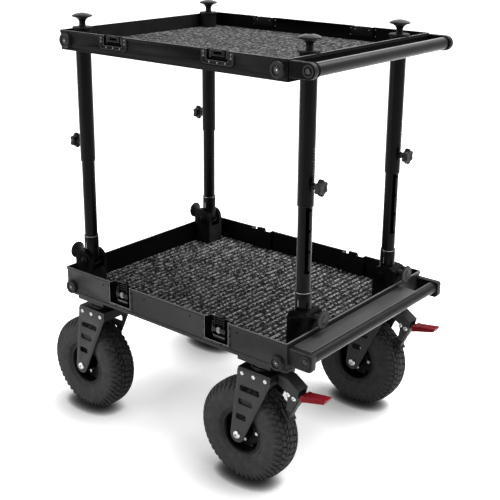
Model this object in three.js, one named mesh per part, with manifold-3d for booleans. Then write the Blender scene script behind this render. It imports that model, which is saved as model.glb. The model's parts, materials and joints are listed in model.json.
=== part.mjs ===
// Folding two-tray equipment cart on four pneumatic swivel casters.
// Millimetres, +Z up. The origin is on the floor under the middle of the cart.
// +X points to the push handle (the rear), so -Y is the left side of whoever pushes it.
import * as THREE from "three";
import { mergeVertices } from "three/addons/utils/BufferGeometryUtils.js";
import Module from "manifold-3d";

const wasm = await Module();
wasm.setup();

// Gaps and cuts
const gap = 0.3; // running gap between neighbouring pieces
const overrun = 2; // how far a cut runs past the face that it opens
const weld = 0.001; // vertices nearer than this are one

// Sides of round solids
const tubeSides = 12;
const discSides = 12;
const headSides = 10;
const pinSides = 8;
const screwSides = 6;
const arcSteps = 4; // on a rounded plate

// Trays: folded sheet with a proud lip round the rim
const sheet = 3;
const lipProud = 1.5;
const lipHeight = 7;
const cornerRadius = 4;
const lowerLength = 740;
const lowerWidth = 590;
const lowerDepth = 71;
const topEndSetback = 15; // from the end of the lower tray
const topSideSetback = 5; // from its side
const topLength = lowerLength - 2 * topEndSetback;
const topWidth = lowerWidth - 2 * topSideSetback;
const topDepth = 48;
const matMargin = 1;
const lowerMatThickness = 12;
const topMatThickness = 9;

// Corner bumpers: round bolted feet on the long sides of both trays
const bumperRadius = 18;
const bumperProud = 10;
const bumperEdge = 3.2; // rounding of the outer edge
const bumperInset = 25; // from the end of the tray to the centre
const lowerBumperDrop = 51; // from the rim to the centre
const topBumperDrop = 24;

// Latches: recessed dishes on the lower tray, keepers on the top tray
const latchInset = 207; // from the end of the lower tray
const latchSpread = lowerLength / 2 - latchInset;
const latchBezelWidth = 86;
const latchBezelHeight = 62;
const latchBezelCorner = 3;
const latchBezelSteps = 1;
const latchPocketWidth = 64;
const latchPocketHeight = 53;
const latchPocketDepth = 14;
const dishSkin = 2;
const latchHookWidth = 26;
const latchHookHeight = 37; // above the spindle, so it stands over the rim
const latchHookThickness = 4;
const latchBossRadius = 12;
const latchBossThickness = 4;
const latchCentreDrop = 30; // from the rim to the spindle
const wingSpindleRadius = 3;
const wingSpindleLength = 6;
const wingHubRadius = 8;
const wingHubThickness = 5;
const wingLength = 42;
const wingHeight = 13;
const wingThickness = 2.5;
const keeperBezelWidth = 92;
const keeperBezelHeight = 32;
const keeperBezelCorner = 10;
const keeperBezelSteps = 3;
const keeperPocketWidth = 62;
const keeperPocketHeight = 23;
const keeperPocketDepth = 8;
const keeperBarWidth = 44;
const keeperBarThickness = 3;
const keeperBarDrop = 6;

// Casters
const tyreRadius = 130;
const tyreWidth = 83;
const tyreSides = 24; // even, because the tread lugs take every other station
const treadDepth = 4;
const crownFlat = 9; // half width of the flat running band
const rimRadius = 57.5; // edge of the bead flange
const rimWidth = 66;
const rimSides = 12;
const rimWeb = 5; // half the thickness of the disc
const rimFlange = 2; // thickness of the flange at its edge
const rimBeadIn = 5; // from the edge of the rim to the bead seat
const rimBeadDrop = 5.5; // from the flange's edge down to the bead seat
const rimLip = 5; // from the flange's edge down to the dish
const rimDishFoot = 10; // and to the foot of the dish
const hubRadius = 18;
const hubTaper = 3;
const tyreBeadDrop = 4.9; // the bead lies over its seat
const tyreBeadIn = 6.5;
const tyreBeadProud = 1.2; // over the flange
const sidewallRise = 22; // from the flange to the widest part
const shoulderDrop = 24; // from the crown down to the shoulder
const treadEdgeDrop = 9.5; // from the crown down to the edge of the tread
const treadEdgeIn = 6;
const treadBandDrop = 2; // and to the edge of the outer band
const treadBandIn = 18;
const axleRadius = 6;
const axleHeadRadius = 10;
const axleHeadThickness = 4;
const casterEndInset = 94; // swivel axis from the end of the lower tray
const casterSideInset = 48; // and from its side
const casterSpread = lowerLength / 2 - casterEndInset;
const casterTrack = lowerWidth / 2 - casterSideInset;
const casterTrail = 49;
const forkRise = 180; // wheel centre to the top of the crown
const forkInnerGap = 88;
const hubWidth = forkInnerGap - 2 * gap; // the hub runs up to the fork's plates
const forkPlate = 4;
const forkFootRadius = 20;
const crownLength = 96;
const crownThickness = 24;
const crownShoulder = 4; // the crown stands this far above its side plates
const forkChamfer = 14;
const upperSlotWidth = 59;
const upperSlotRise = 128; // above the wheel centre
const upperSlotAhead = 37.5; // of the wheel centre
const middleSlotWidth = 42;
const middleSlotRise = 92;
const middleSlotAhead = 25;
const lowerSlotWidth = 30;
const lowerSlotRise = 51;
const lowerSlotAhead = 12;
const slotHeight = 16;
const slotCorner = 3;
const raceRadius = 36;
const upperRaceRadius = 32;
const lowerRaceHeight = 6;
const upperRaceHeight = 13;
const kingpinRadius = 7;
const kingpinSeat = 4; // how far short of the mount plate's top the kingpin hole ends
const mountSide = 96;
const mountThickness = 8;

// Brakes: a channel bracket on the crown with a shoe lever and a foot pedal
const bracketWidth = 36;
const bracketSheet = 3;
const brakePivotAhead = 94; // ahead of the swivel axis
const brakePivotDrop = 47; // below the top of the crown
const brakePinRadius = 4;
const bracketRootDrop = 2; // below the top of the crown
const bracketBendDrop = 4;
const bracketBend = 20; // behind the pivot
const bracketNoseAhead = 13; // from the pivot, as are the sizes down to the mouth's
const bracketNoseRise = 21;
const bracketHeelAhead = 5;
const bracketHeelDrop = 11;
const bracketToeBack = 10;
const bracketToeDrop = 38;
const bracketTailBack = 22;
const bracketTailDrop = 36;
const bracketThroatBack = 18;
const bracketThroatDrop = 8;
const bracketMouthAhead = 8;
const bracketMouthRise = 20;
const bracketMouthReach = 30; // past the nose
const bracketMouthDrop = 50; // past the toe
const leverHubRadius = 9;
const leverArmShare = 0.8; // of the hub's radius
const leverArmWidth = 18;
const shoeWidth = 28;
const shoeLength = 36;
const shoeThickness = 8;
const shoeAngle = 33.5; // round the tyre from the level, in degrees
const shoeLift = 5.6; // off the tyre at rest
const tongueThickness = 7;
const tongueWidth = 22;
const pedalWidth = 40;
const pedalRootAhead = 112;
const pedalRootHeight = 21;
const pedalTipHeight = 15;
const pedalTipLean = 9; // the tip is cut back by this much below
const pedalRootRise = 6; // middle of the root above the brake pivot
const pedalTipRise = 16; // middle of the tip above the brake pivot
const pedalSkin = 4;

// Posts: each folds inward about a pin in its socket, and telescopes
const postEndInset = 40; // from the end of the lower tray
const postSideInset = 59; // and from its side
const postStagger = 52; // the rear posts stand this much closer, so that folded posts lie side by side
const postSpread = lowerLength / 2 - postEndInset;
const frontPostTrack = lowerWidth / 2 - postSideInset;
const rearPostTrack = frontPostTrack - postStagger;
const pivotRise = 85; // above the tray floor
const postLength = 562; // pivot to the underside of the top tray
const lowerTubeRadius = 17;
const lowerTubeBore = 14;
const lowerTubeTop = 337; // above the pivot
const upperTubeRadius = 19.25;
const upperTubeWall = 1.75;
const upperTubeEnd = 270; // above the pivot, at full height
const upperPlugDepth = 26;
const collarRadius = 19.25;
const collarTop = 68;
const collarChamfer = 1.5;
const footWidth = 32;
const footTop = 31;
const ladderPitch = 49;
const ladderSteps = 4;
const ladderStart = 115; // lowest notch above the pivot
const ladderTurn = -35; // degrees round from the outer side
const ladderWidth = 5;
const ladderDepth = 1.8;
const notchTurn = -14;
const notchWidth = 13;
const notchHeight = 6;
const socketInward = 25; // half width of the rounded cheeks
const socketWidth = 54;
const socketSlopeShare = 1 / 3; // of the way from the screw's face to the cheeks
const socketSlopeRise = 4;
const channelFloor = 2; // under the foot
const pivotPinRadius = 5;
const pivotHeadRadius = 12;
const pivotHeadThickness = 2;
const lockRise = 10; // lock screw above the pivot
const lockScrewRadius = 4;
const lockNeckRadius = 8;
const lockNeckLength = 10;
const lockDiscRadius = 23;
const lockFlare = 11;
const lockRimThickness = 3;
const lockDome = 3;
const starRise = 48; // above the lower end of the upper tube
const starScrewRadius = 4;
const starBossRadius = 8;
const starBossLength = 5;
const starNeckRadius = 7;
const starNeckLength = 9;
const starRadius = 20;
const starLobes = 6;
const starLobePoints = 4;
const starLobeDepth = 4.5;
const starThickness = 15;
const starBevel = 2;

// Tray knobs: mushroom heads that screw down through sleeves into the posts
const sleeveRadius = 22;
const sleeveFlangeRadius = 25;
const sleeveFlangeThickness = 4;
const sleeveAboveRim = 1;
const knobScrewRadius = 5;
const knobScrewDepth = 12; // into the plug of the upper tube
const knobStemRadius = 8.5;
const knobStemLength = 13;
const knobFlareLength = 12;
const knobHeadRadius = 25.5;
const knobRimThickness = 2.5;
const knobDome = 6;
const knobDomeShare = 0.8; // of its height at half its radius

// Push handle on the top tray
const handleReach = 48; // from the end of the tray to the tube's axis
const handleDrop = 20; // from the rim to the tube's axis
const handleRadius = 15;
const handleWall = 2.5;
const handleCollarRadius = 17.5;
const handleCollarLength = 7;
const handleBracketRadius = 18;
const handleBracketThickness = 12;
const handleBracketInset = 2; // from the side of the tray
const boltHeadRadius = 8;
const boltHeadThickness = 3;

// Bumper at the handle end of the lower tray
const barReach = 45;
const barDrop = 30;
const barRadius = 14;
const lugReach = 19; // past the bar's axis
const lugBelow = 25; // under the bar's axis
const lugCorner = 12;
const lugTopCorner = 6;
const lugThickness = 15;
const lugInset = 7;
const shelfThickness = 4;
const shelfOverBar = 3; // how far the shelf reaches past the bar's axis
const shelfNearGap = 2;
const shelfFarGap = 84;

// Heights that follow
const wheelZ = tyreRadius * Math.cos(Math.PI / tyreSides);
const crownZ = wheelZ + forkRise;
const raceZ = crownZ + lowerRaceHeight;
const mountZ = raceZ + gap + upperRaceHeight;
const lowerZ = mountZ + mountThickness;
const lowerFloorZ = lowerZ + sheet;
const lowerRimZ = lowerZ + lowerDepth;
const pivotZ = lowerFloorZ + pivotRise;
const topZ = pivotZ + postLength;
const topFloorZ = topZ + sheet;
const topRimZ = topZ + topDepth;
const sleeveTopZ = topRimZ + sleeveAboveRim + sleeveFlangeThickness;
const brakePivotZ = crownZ - brakePivotDrop;
const pedalReach = casterTrail + wheelZ; // as far ahead of the swivel as the tyre reaches behind it
const starZ = upperTubeEnd + starRise;

const corners = [
  { name: "rear_left", end: 1, side: -1, track: rearPostTrack },
  { name: "rear_right", end: 1, side: 1, track: rearPostTrack },
  { name: "front_left", end: -1, side: -1, track: frontPostTrack },
  { name: "front_right", end: -1, side: 1, track: frontPostTrack },
];

const latchBezel = {
  width: latchBezelWidth,
  height: latchBezelHeight,
  corner: latchBezelCorner,
  steps: latchBezelSteps,
};
const latchPocket = { width: latchPocketWidth, height: latchPocketHeight, depth: latchPocketDepth };
const keeperBezel = {
  width: keeperBezelWidth,
  height: keeperBezelHeight,
  corner: keeperBezelCorner,
  steps: keeperBezelSteps,
};
const keeperPocket = { width: keeperPocketWidth, height: keeperPocketHeight, depth: keeperPocketDepth };
const forkSlots = [
  [upperSlotWidth, upperSlotRise, upperSlotAhead],
  [middleSlotWidth, middleSlotRise, middleSlotAhead],
  [lowerSlotWidth, lowerSlotRise, lowerSlotAhead],
];

const paint = {
  tray: { color: 0x3a3b3d, roughness: 0.55, metalness: 0.35 },
  mat: { color: 0x48484a, roughness: 0.98, metalness: 0 },
  tube: { color: 0x2c2d2f, roughness: 0.42, metalness: 0.55 },
  fork: { color: 0x4b4c4e, roughness: 0.6, metalness: 0.3 },
  steel: { color: 0xc4c4c2, roughness: 0.3, metalness: 0.9 },
  rim: { color: 0x1d1d1e, roughness: 0.5, metalness: 0.3 },
  rubber: { color: 0x414143, roughness: 0.88, metalness: 0 },
  knob: { color: 0x38393b, roughness: 0.5, metalness: 0.2 },
  pedal: { color: 0x9b1f34, roughness: 0.45, metalness: 0 },
};

// Solids
function toSolid(geometry) {
  const bare = geometry.index ? geometry.toNonIndexed() : geometry.clone();
  bare.deleteAttribute("normal");
  bare.deleteAttribute("uv");
  const merged = mergeVertices(bare, weld);
  return new wasm.Manifold(
    new wasm.Mesh({
      numProp: 3,
      vertProperties: merged.attributes.position.array,
      triVerts: new Uint32Array(merged.index.array),
    }),
  );
}

function toGeometry(solid) {
  const made = solid.getMesh();
  const geometry = new THREE.BufferGeometry();
  geometry.setAttribute("position", new THREE.BufferAttribute(made.vertProperties, 3));
  geometry.setIndex(new THREE.BufferAttribute(made.triVerts, 1));
  geometry.computeVertexNormals();
  return geometry;
}

function join(first, ...others) {
  return others.reduce((sum, other) => sum.add(other), first);
}

function cut(first, ...others) {
  return others.reduce((left, other) => left.subtract(other), first);
}

function block([x0, x1], [y0, y1], [z0, z1]) {
  const geometry = new THREE.BoxGeometry(x1 - x0, y1 - y0, z1 - z0);
  geometry.translate((x0 + x1) / 2, (y0 + y1) / 2, (z0 + z1) / 2);
  return toSolid(geometry);
}

// A level slab with rounded corners in plan, centred on the Z axis.
function slab(length, width, [z0, z1], radius) {
  const [x, y] = [length / 2 - radius, width / 2 - radius];
  const plan = new THREE.Shape();
  plan.absarc(x, y, radius, 0, Math.PI / 2);
  plan.absarc(-x, y, radius, Math.PI / 2, Math.PI);
  plan.absarc(-x, -y, radius, Math.PI, 1.5 * Math.PI);
  plan.absarc(x, -y, radius, 1.5 * Math.PI, 2 * Math.PI);
  const geometry = new THREE.ExtrudeGeometry(plan, { depth: z1 - z0, bevelEnabled: false, curveSegments: 1 });
  geometry.translate(0, 0, z0);
  return toSolid(geometry);
}

// A plate whose outline lies in XZ, from y0 to y1.
function upright(outline, [y0, y1], curveSegments = arcSteps) {
  const geometry = new THREE.ExtrudeGeometry(outline, { depth: y1 - y0, bevelEnabled: false, curveSegments });
  geometry.rotateX(Math.PI / 2);
  geometry.translate(0, y1, 0);
  return toSolid(geometry);
}

function polygon(points) {
  return new THREE.Shape(points.map(([x, z]) => new THREE.Vector2(x, z)));
}

function turnTo(geometry, axis) {
  if (axis === "z") geometry.rotateX(Math.PI / 2);
  if (axis === "x") geometry.rotateZ(-Math.PI / 2);
  return geometry;
}

// A round bar along an axis, from one station to another, placed on the two other axes in XYZ order.
function bar(axis, radius, [from, to], [u, v], sides = tubeSides) {
  const geometry = new THREE.CylinderGeometry(radius, radius, to - from, sides);
  turnTo(geometry, axis);
  const middle = (from + to) / 2;
  if (axis === "x") geometry.translate(middle, u, v);
  if (axis === "y") geometry.translate(u, middle, v);
  if (axis === "z") geometry.translate(u, v, middle);
  return toSolid(geometry);
}

// A hole whose flats keep the running gap to a round bar of the given radius.
function bore(axis, radius, ends, place, sides = pinSides) {
  return bar(axis, (radius + gap) / Math.cos(Math.PI / sides), ends, place, sides);
}

// A profile of [radius, station] turned round an axis. Its outer side runs towards higher stations.
function turned(profile, axis, sides, phase = 0) {
  const points = profile.map(([r, h]) => new THREE.Vector2(r, h));
  return toSolid(turnTo(new THREE.LatheGeometry(points, sides, phase), axis));
}

function mesh(name, solid, finish) {
  const made = new THREE.Mesh(toGeometry(solid), new THREE.MeshStandardMaterial(paint[finish]));
  made.name = name;
  return made;
}

// Trays
function trayShell(length, width, [z0, z1], lips) {
  const [innerLength, innerWidth] = [length - 2 * (lipProud + sheet), width - 2 * (lipProud + sheet)];
  const walls = slab(length - 2 * lipProud, width - 2 * lipProud, [z0, z1], cornerRadius);
  const bands = lips.map((z) => slab(length, width, [z, z + lipHeight], cornerRadius + lipProud));
  const well = slab(innerLength, innerWidth, [z0 + sheet, z1 + overrun], cornerRadius - lipProud);
  return cut(join(walls, ...bands), well);
}

// Mirrors a place given for the +Y side to either side.
function across(side, [y0, y1]) {
  return side > 0 ? [y0, y1] : [-y1, -y0];
}

function cornerBumper(x, face, side, z) {
  const profile = [
    [0, -sheet / 2],
    [bumperRadius, -sheet / 2],
    [bumperRadius, bumperProud - bumperEdge],
    [bumperRadius - bumperEdge, bumperProud],
    [0, bumperProud],
  ];
  const made = turned(profile, "y", headSides);
  return (side > 0 ? made : made.mirror([0, 1, 0])).translate([x, side * face, z]);
}

// A recessed dish, open at the rim, in a long wall: what it adds and what it cuts.
function dish(x, side, wall, rimZ, bezel, pocket) {
  const inner = wall - pocket.depth;
  const half = pocket.width / 2;
  const [left, right] = [x - bezel.width / 2, x + bezel.width / 2];
  const [foot, corner] = [rimZ - bezel.height, bezel.corner];
  const outline = new THREE.Shape();
  outline.moveTo(right, rimZ);
  outline.lineTo(left, rimZ);
  outline.absarc(left + corner, foot + corner, corner, Math.PI, 1.5 * Math.PI, false);
  outline.absarc(right - corner, foot + corner, corner, 1.5 * Math.PI, 2 * Math.PI, false);
  const frame = upright(outline, across(side, [wall - sheet, wall + lipProud]), bezel.steps);
  const box = block(
    [x - half - dishSkin, x + half + dishSkin],
    across(side, [inner - dishSkin, wall]),
    [rimZ - pocket.height - dishSkin, rimZ],
  );
  const hollow = block(
    [x - half, x + half],
    across(side, [inner, wall + lipProud + overrun]),
    [rimZ - pocket.height, rimZ + overrun],
  );
  return { add: join(frame, box), hollow, inner };
}

function casterMount(x, y) {
  const half = mountSide / 2;
  const plate = block([x - half, x + half], [y - half, y + half], [mountZ, lowerZ]);
  const race = bar("z", upperRaceRadius, [raceZ + gap, mountZ], [x, y], discSides);
  const hole = bore("z", kingpinRadius, [raceZ - overrun, lowerZ - kingpinSeat + gap], [x, y]);
  return cut(join(plate, race), hole);
}

function latchPlaces() {
  return [-1, 1].flatMap((end) => [-1, 1].map((side) => ({ side, x: end * latchSpread })));
}

function lowerTray() {
  const wall = lowerWidth / 2 - lipProud;
  let tray = trayShell(lowerLength, lowerWidth, [lowerZ, lowerRimZ], [lowerZ, lowerRimZ - lipHeight]);
  for (const { side, x } of latchPlaces()) {
    const { add, hollow, inner } = dish(x, side, wall, lowerRimZ, latchBezel, latchPocket);
    const hookTop = lowerRimZ - latchCentreDrop + latchHookHeight;
    const hook = block(
      [x - latchHookWidth / 2, x + latchHookWidth / 2],
      across(side, [inner - dishSkin, inner + latchHookThickness / 2]),
      [lowerRimZ - latchCentreDrop, hookTop],
    );
    const centre = [x, lowerRimZ - latchCentreDrop];
    const bossEnds = across(side, [inner - dishSkin, inner + latchBossThickness]);
    const boss = bar("y", latchBossRadius, bossEnds, centre, discSides);
    const deep = [inner + latchBossThickness - wingSpindleLength, wall];
    const hole = bore("y", wingSpindleRadius, across(side, deep), centre);
    tray = cut(join(cut(join(tray, add), hollow), hook, boss), hole);
  }
  const mounts = corners.map(({ end, side }) => casterMount(end * casterSpread, side * casterTrack));
  const bumpers = corners.map(({ end, side }) =>
    cornerBumper(end * (lowerLength / 2 - bumperInset), wall, side, lowerRimZ - lowerBumperDrop),
  );
  return join(tray, ...mounts, ...bumpers);
}

function topTray() {
  const wall = topWidth / 2 - lipProud;
  let tray = trayShell(topLength, topWidth, [topZ, topRimZ], [topRimZ - lipHeight]);
  for (const { side, x } of latchPlaces()) {
    const { add, hollow, inner } = dish(x, side, wall, topRimZ, keeperBezel, keeperPocket);
    const catchBar = block(
      [x - keeperBarWidth / 2, x + keeperBarWidth / 2],
      across(side, [inner - dishSkin, inner + keeperPocketDepth / 2]),
      [topRimZ - keeperBarDrop - keeperBarThickness, topRimZ - keeperBarDrop],
    );
    tray = join(cut(join(tray, add), hollow), catchBar);
  }
  const bumpers = corners.map(({ end, side }) =>
    cornerBumper(end * (topLength / 2 - bumperInset), wall, side, topRimZ - topBumperDrop),
  );
  const posts = corners.map(({ end, side, track }) => [end * postSpread, side * track]);
  const sleeves = posts.flatMap((place) => [
    bar("z", sleeveRadius, [topZ + sheet / 2, sleeveTopZ], place, discSides),
    bar("z", sleeveFlangeRadius, [sleeveTopZ - sleeveFlangeThickness, sleeveTopZ], place, discSides),
  ]);
  const holes = posts.map((place) =>
    bore("z", knobScrewRadius, [topZ - overrun, sleeveTopZ + overrun], place),
  );
  return cut(join(tray, ...bumpers, ...sleeves), ...holes);
}

function lowerMat() {
  const inset = 2 * (lipProud + sheet + matMargin);
  const heights = [lowerFloorZ + gap, lowerFloorZ + gap + lowerMatThickness];
  const mat = slab(lowerLength - inset, lowerWidth - inset, heights, cornerRadius);
  const notches = corners.map(({ end, side, track }) => {
    const ends = [postSpread - socketInward - matMargin, lowerLength / 2];
    const half = socketWidth / 2 + matMargin;
    return block(
      end > 0 ? ends : [-ends[1], -ends[0]],
      [side * track - half, side * track + half],
      [lowerFloorZ - overrun, heights[1] + overrun],
    );
  });
  return cut(mat, ...notches);
}

function topMat() {
  const inset = 2 * (lipProud + sheet + matMargin);
  const heights = [topFloorZ + gap, topFloorZ + gap + topMatThickness];
  const mat = slab(topLength - inset, topWidth - inset, heights, cornerRadius);
  const holes = corners.map(({ end, side, track }) => {
    const place = [end * postSpread, side * track];
    return bar("z", sleeveRadius + matMargin, [topFloorZ - overrun, heights[1] + overrun], place, discSides);
  });
  return cut(mat, ...holes);
}

function latchWing({ end, side }) {
  const seat = lowerWidth / 2 - lipProud - latchPocketDepth + latchBossThickness;
  const centre = [end * latchSpread, lowerRimZ - latchCentreDrop];
  const spindle = [seat + gap - wingSpindleLength + gap, seat + gap];
  const flap = [seat + gap + wingHubThickness / 2, seat + gap + wingHubThickness / 2 + wingThickness];
  return join(
    bar("y", wingSpindleRadius, across(side, [spindle[0], spindle[1] + overrun]), centre, pinSides),
    bar("y", wingHubRadius, across(side, [seat + gap, seat + gap + wingHubThickness]), centre, headSides),
    block(
      [centre[0] - wingLength / 2, centre[0] + wingLength / 2],
      across(side, flap),
      [centre[1] - wingHeight / 2, centre[1] + wingHeight / 2],
    ),
  );
}

// Casters: each is built about its swivel axis, at floor level
function forkOutline() {
  const top = crownZ - crownShoulder;
  const [back, front] = [-crownLength / 2, crownLength / 2];
  const outline = new THREE.Shape();
  outline.moveTo(back, top);
  outline.lineTo(back - forkPlate / 2, top - crownThickness);
  outline.absarc(-casterTrail, wheelZ, forkFootRadius, Math.PI, 2 * Math.PI - Math.PI / 8, false);
  outline.lineTo(front, top - forkChamfer);
  outline.lineTo(front, top);
  forkSlots.forEach(([width, rise, ahead]) => {
    const [x, z] = [ahead - casterTrail, wheelZ + rise];
    const [w, h] = [width / 2 - slotCorner, slotHeight / 2 - slotCorner];
    const quarter = [
      [w + slotCorner, h],
      [w, h + slotCorner],
    ];
    const turn = [
      ...quarter,
      ...quarter.map(([a, b]) => [-a, b]).reverse(),
      ...quarter.map(([a, b]) => [-a, -b]),
      ...quarter.map(([a, b]) => [a, -b]).reverse(),
    ];
    outline.holes.push(new THREE.Path(turn.map(([a, b]) => new THREE.Vector2(x + a, z + b))));
  });
  return outline;
}

function fork() {
  const inner = forkInnerGap / 2;
  const half = crownLength / 2;
  const middle = inner + forkPlate / 2;
  const crown = block([-half, half], [-middle, middle], [crownZ - crownThickness, crownZ]);
  const plates = [-1, 1].map((side) => upright(forkOutline(), across(side, [inner, inner + forkPlate])));
  const axleHole = bore("y", axleRadius, [-forkInnerGap, forkInnerGap], [-casterTrail, wheelZ]);
  const race = bar("z", raceRadius, [crownZ - overrun, raceZ], [0, 0], discSides);
  const kingpin = bar("z", kingpinRadius, [crownZ, lowerZ - kingpinSeat], [0, 0], screwSides);
  return join(cut(join(crown, ...plates), axleHole), race, kingpin);
}

function axle() {
  const outside = forkInnerGap / 2 + forkPlate + gap;
  const half = [
    [axleRadius, outside],
    [axleHeadRadius, outside],
    [axleHeadRadius, outside + axleHeadThickness],
    [0, outside + axleHeadThickness],
  ];
  const profile = [...half.map(([r, h]) => [r, -h]).reverse(), ...half];
  return turned(profile, "y", screwSides).translate([-casterTrail, 0, wheelZ]);
}

function rimProfile() {
  const edge = rimWidth / 2;
  const half = [
    [rimRadius - rimBeadDrop, edge - rimBeadIn],
    [rimRadius, edge - rimFlange],
    [rimRadius, edge],
    [rimRadius - rimLip, edge],
    [rimRadius - rimDishFoot, rimWeb],
    [hubRadius, rimWeb],
    [hubRadius - hubTaper, hubWidth / 2],
    [(axleRadius + gap) / Math.cos(Math.PI / rimSides), hubWidth / 2],
  ];
  const other = half.map(([r, h]) => [r, -h]).reverse();
  return [...other, ...half, other[0]];
}

function rim() {
  return turned(rimProfile(), "y", rimSides).translate([-casterTrail, 0, wheelZ]);
}

// The tread is a closed grid. Its shoulder rings dip at every other station, staggered from side to side.
function tyre() {
  const half = tyreWidth / 2;
  const bead = rimWidth / 2;
  const side = [
    [rimRadius - tyreBeadDrop, bead - tyreBeadIn],
    [rimRadius + tyreBeadProud, bead - rimFlange],
    [rimRadius + sidewallRise, half],
    [tyreRadius - shoulderDrop, half],
    [tyreRadius - treadEdgeDrop, half - treadEdgeIn],
    [tyreRadius - treadBandDrop, half - treadBandIn],
  ];
  const far = side.map(([r, h]) => [r, -h]);
  const crown = [-crownFlat, crownFlat].map((h) => [tyreRadius, h]);
  const profile = [...far, ...crown, ...side.slice().reverse()];
  const geometry = new THREE.LatheGeometry(
    [...profile, profile[0]].map(([r, h]) => new THREE.Vector2(r, h)),
    tyreSides,
    Math.PI / tyreSides,
  );
  const spots = geometry.attributes.position;
  const rings = profile.length + 1;
  for (let station = 0; station <= tyreSides; station++) {
    profile.forEach(([r, h], ring) => {
      const onShoulder = r > tyreRadius - shoulderDrop && Math.abs(h) > crownFlat;
      const dips = (station + (h > 0 ? 1 : 0)) % 2 === 0;
      if (!onShoulder || !dips) return;
      const at = station * rings + ring;
      const [x, z] = [spots.getX(at), spots.getZ(at)];
      const shrink = 1 - treadDepth / Math.hypot(x, z);
      spots.setX(at, x * shrink);
      spots.setZ(at, z * shrink);
    });
  }
  geometry.translate(-casterTrail, 0, wheelZ);
  return toSolid(geometry);
}

// Brakes, on the two rear casters
function brakeBracket() {
  const outer = bracketWidth / 2;
  const inner = outer - bracketSheet;
  const [px, pz] = [brakePivotAhead, brakePivotZ];
  const root = crownLength / 2 + gap;
  const cheeks = polygon([
    [root, crownZ - bracketRootDrop],
    [px - bracketBend, crownZ - bracketBendDrop],
    [px + bracketNoseAhead, pz + bracketNoseRise],
    [px + bracketHeelAhead, pz - bracketHeelDrop],
    [px - bracketToeBack, pz - bracketToeDrop],
    [px - bracketTailBack, pz - bracketTailDrop],
    [px - bracketThroatBack, pz - bracketThroatDrop],
    [px - bracketTailBack, pz + bracketThroatDrop],
    [root, crownZ - crownThickness],
  ]);
  const channel = polygon([
    [root + bracketSheet, crownZ - bracketRootDrop - bracketSheet],
    [px - bracketBend, crownZ - bracketBendDrop - bracketSheet],
    [px + bracketMouthAhead, pz + bracketMouthRise],
    [px + bracketMouthReach, pz + bracketMouthRise],
    [px + bracketMouthReach, pz - bracketMouthDrop],
    [root + bracketSheet, pz - bracketMouthDrop],
  ]);
  const pin = bar("y", brakePinRadius, [-outer - overrun, outer + overrun], [px, pz], pinSides);
  return join(cut(upright(cheeks, [-outer, outer]), upright(channel, [-inner, inner])), pin);
}

function shoePad() {
  const angle = THREE.MathUtils.degToRad(shoeAngle);
  const inner = tyreRadius + shoeLift;
  const geometry = new THREE.BoxGeometry(shoeThickness, shoeWidth, shoeLength);
  geometry.translate(inner + shoeThickness / 2, 0, 0);
  geometry.rotateY(-angle);
  geometry.translate(-casterTrail, 0, wheelZ);
  const middle = inner + shoeThickness / 2;
  return {
    pad: toSolid(geometry),
    x: middle * Math.cos(angle) - casterTrail,
    z: wheelZ + middle * Math.sin(angle),
  };
}

function pedalLine() {
  const rootZ = brakePivotZ + pedalRootRise;
  const tipZ = brakePivotZ + pedalTipRise;
  const slope = (tipZ - rootZ) / (pedalReach - pedalRootAhead);
  return { rootZ, tipZ, at: (x) => rootZ + slope * (x - pedalRootAhead) };
}

function tongueOutline(margin) {
  const { at } = pedalLine();
  const end = pedalReach - pedalTipLean - 3 * pedalSkin + margin;
  const half = tongueThickness / 2 + margin;
  return polygon([
    [brakePivotAhead, at(brakePivotAhead) - half],
    [end, at(end) - half],
    [end, at(end) + half],
    [brakePivotAhead, at(brakePivotAhead) + half],
  ]);
}

function brakeLever() {
  const [px, pz] = [brakePivotAhead, brakePivotZ];
  const inside = bracketWidth / 2 - bracketSheet - gap;
  const { pad, x, z } = shoePad();
  const half = leverHubRadius * leverArmShare;
  const arm = polygon([
    [px - half, pz],
    [x - half, z],
    [x + half, z - half],
    [px + half, pz - half],
  ]);
  const hub = bar("y", leverHubRadius, [-inside, inside], [px, pz], discSides);
  const tongue = upright(tongueOutline(0), [-tongueWidth / 2, tongueWidth / 2]);
  const hole = bore("y", brakePinRadius, [-bracketWidth, bracketWidth], [px, pz]);
  const body = join(hub, upright(arm, [-leverArmWidth / 2, leverArmWidth / 2]), pad, tongue);
  return cut(body, hole);
}

function brakePedal() {
  const { rootZ, tipZ } = pedalLine();
  const body = polygon([
    [pedalRootAhead, rootZ - pedalRootHeight / 2],
    [pedalReach - pedalTipLean, tipZ - pedalTipHeight / 2],
    [pedalReach, tipZ + pedalTipHeight / 2],
    [pedalRootAhead, rootZ + pedalRootHeight / 2],
  ]);
  const half = tongueWidth / 2 + gap;
  return cut(
    upright(body, [-pedalWidth / 2, pedalWidth / 2]),
    upright(tongueOutline(gap), [-half, half]),
  );
}

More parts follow.
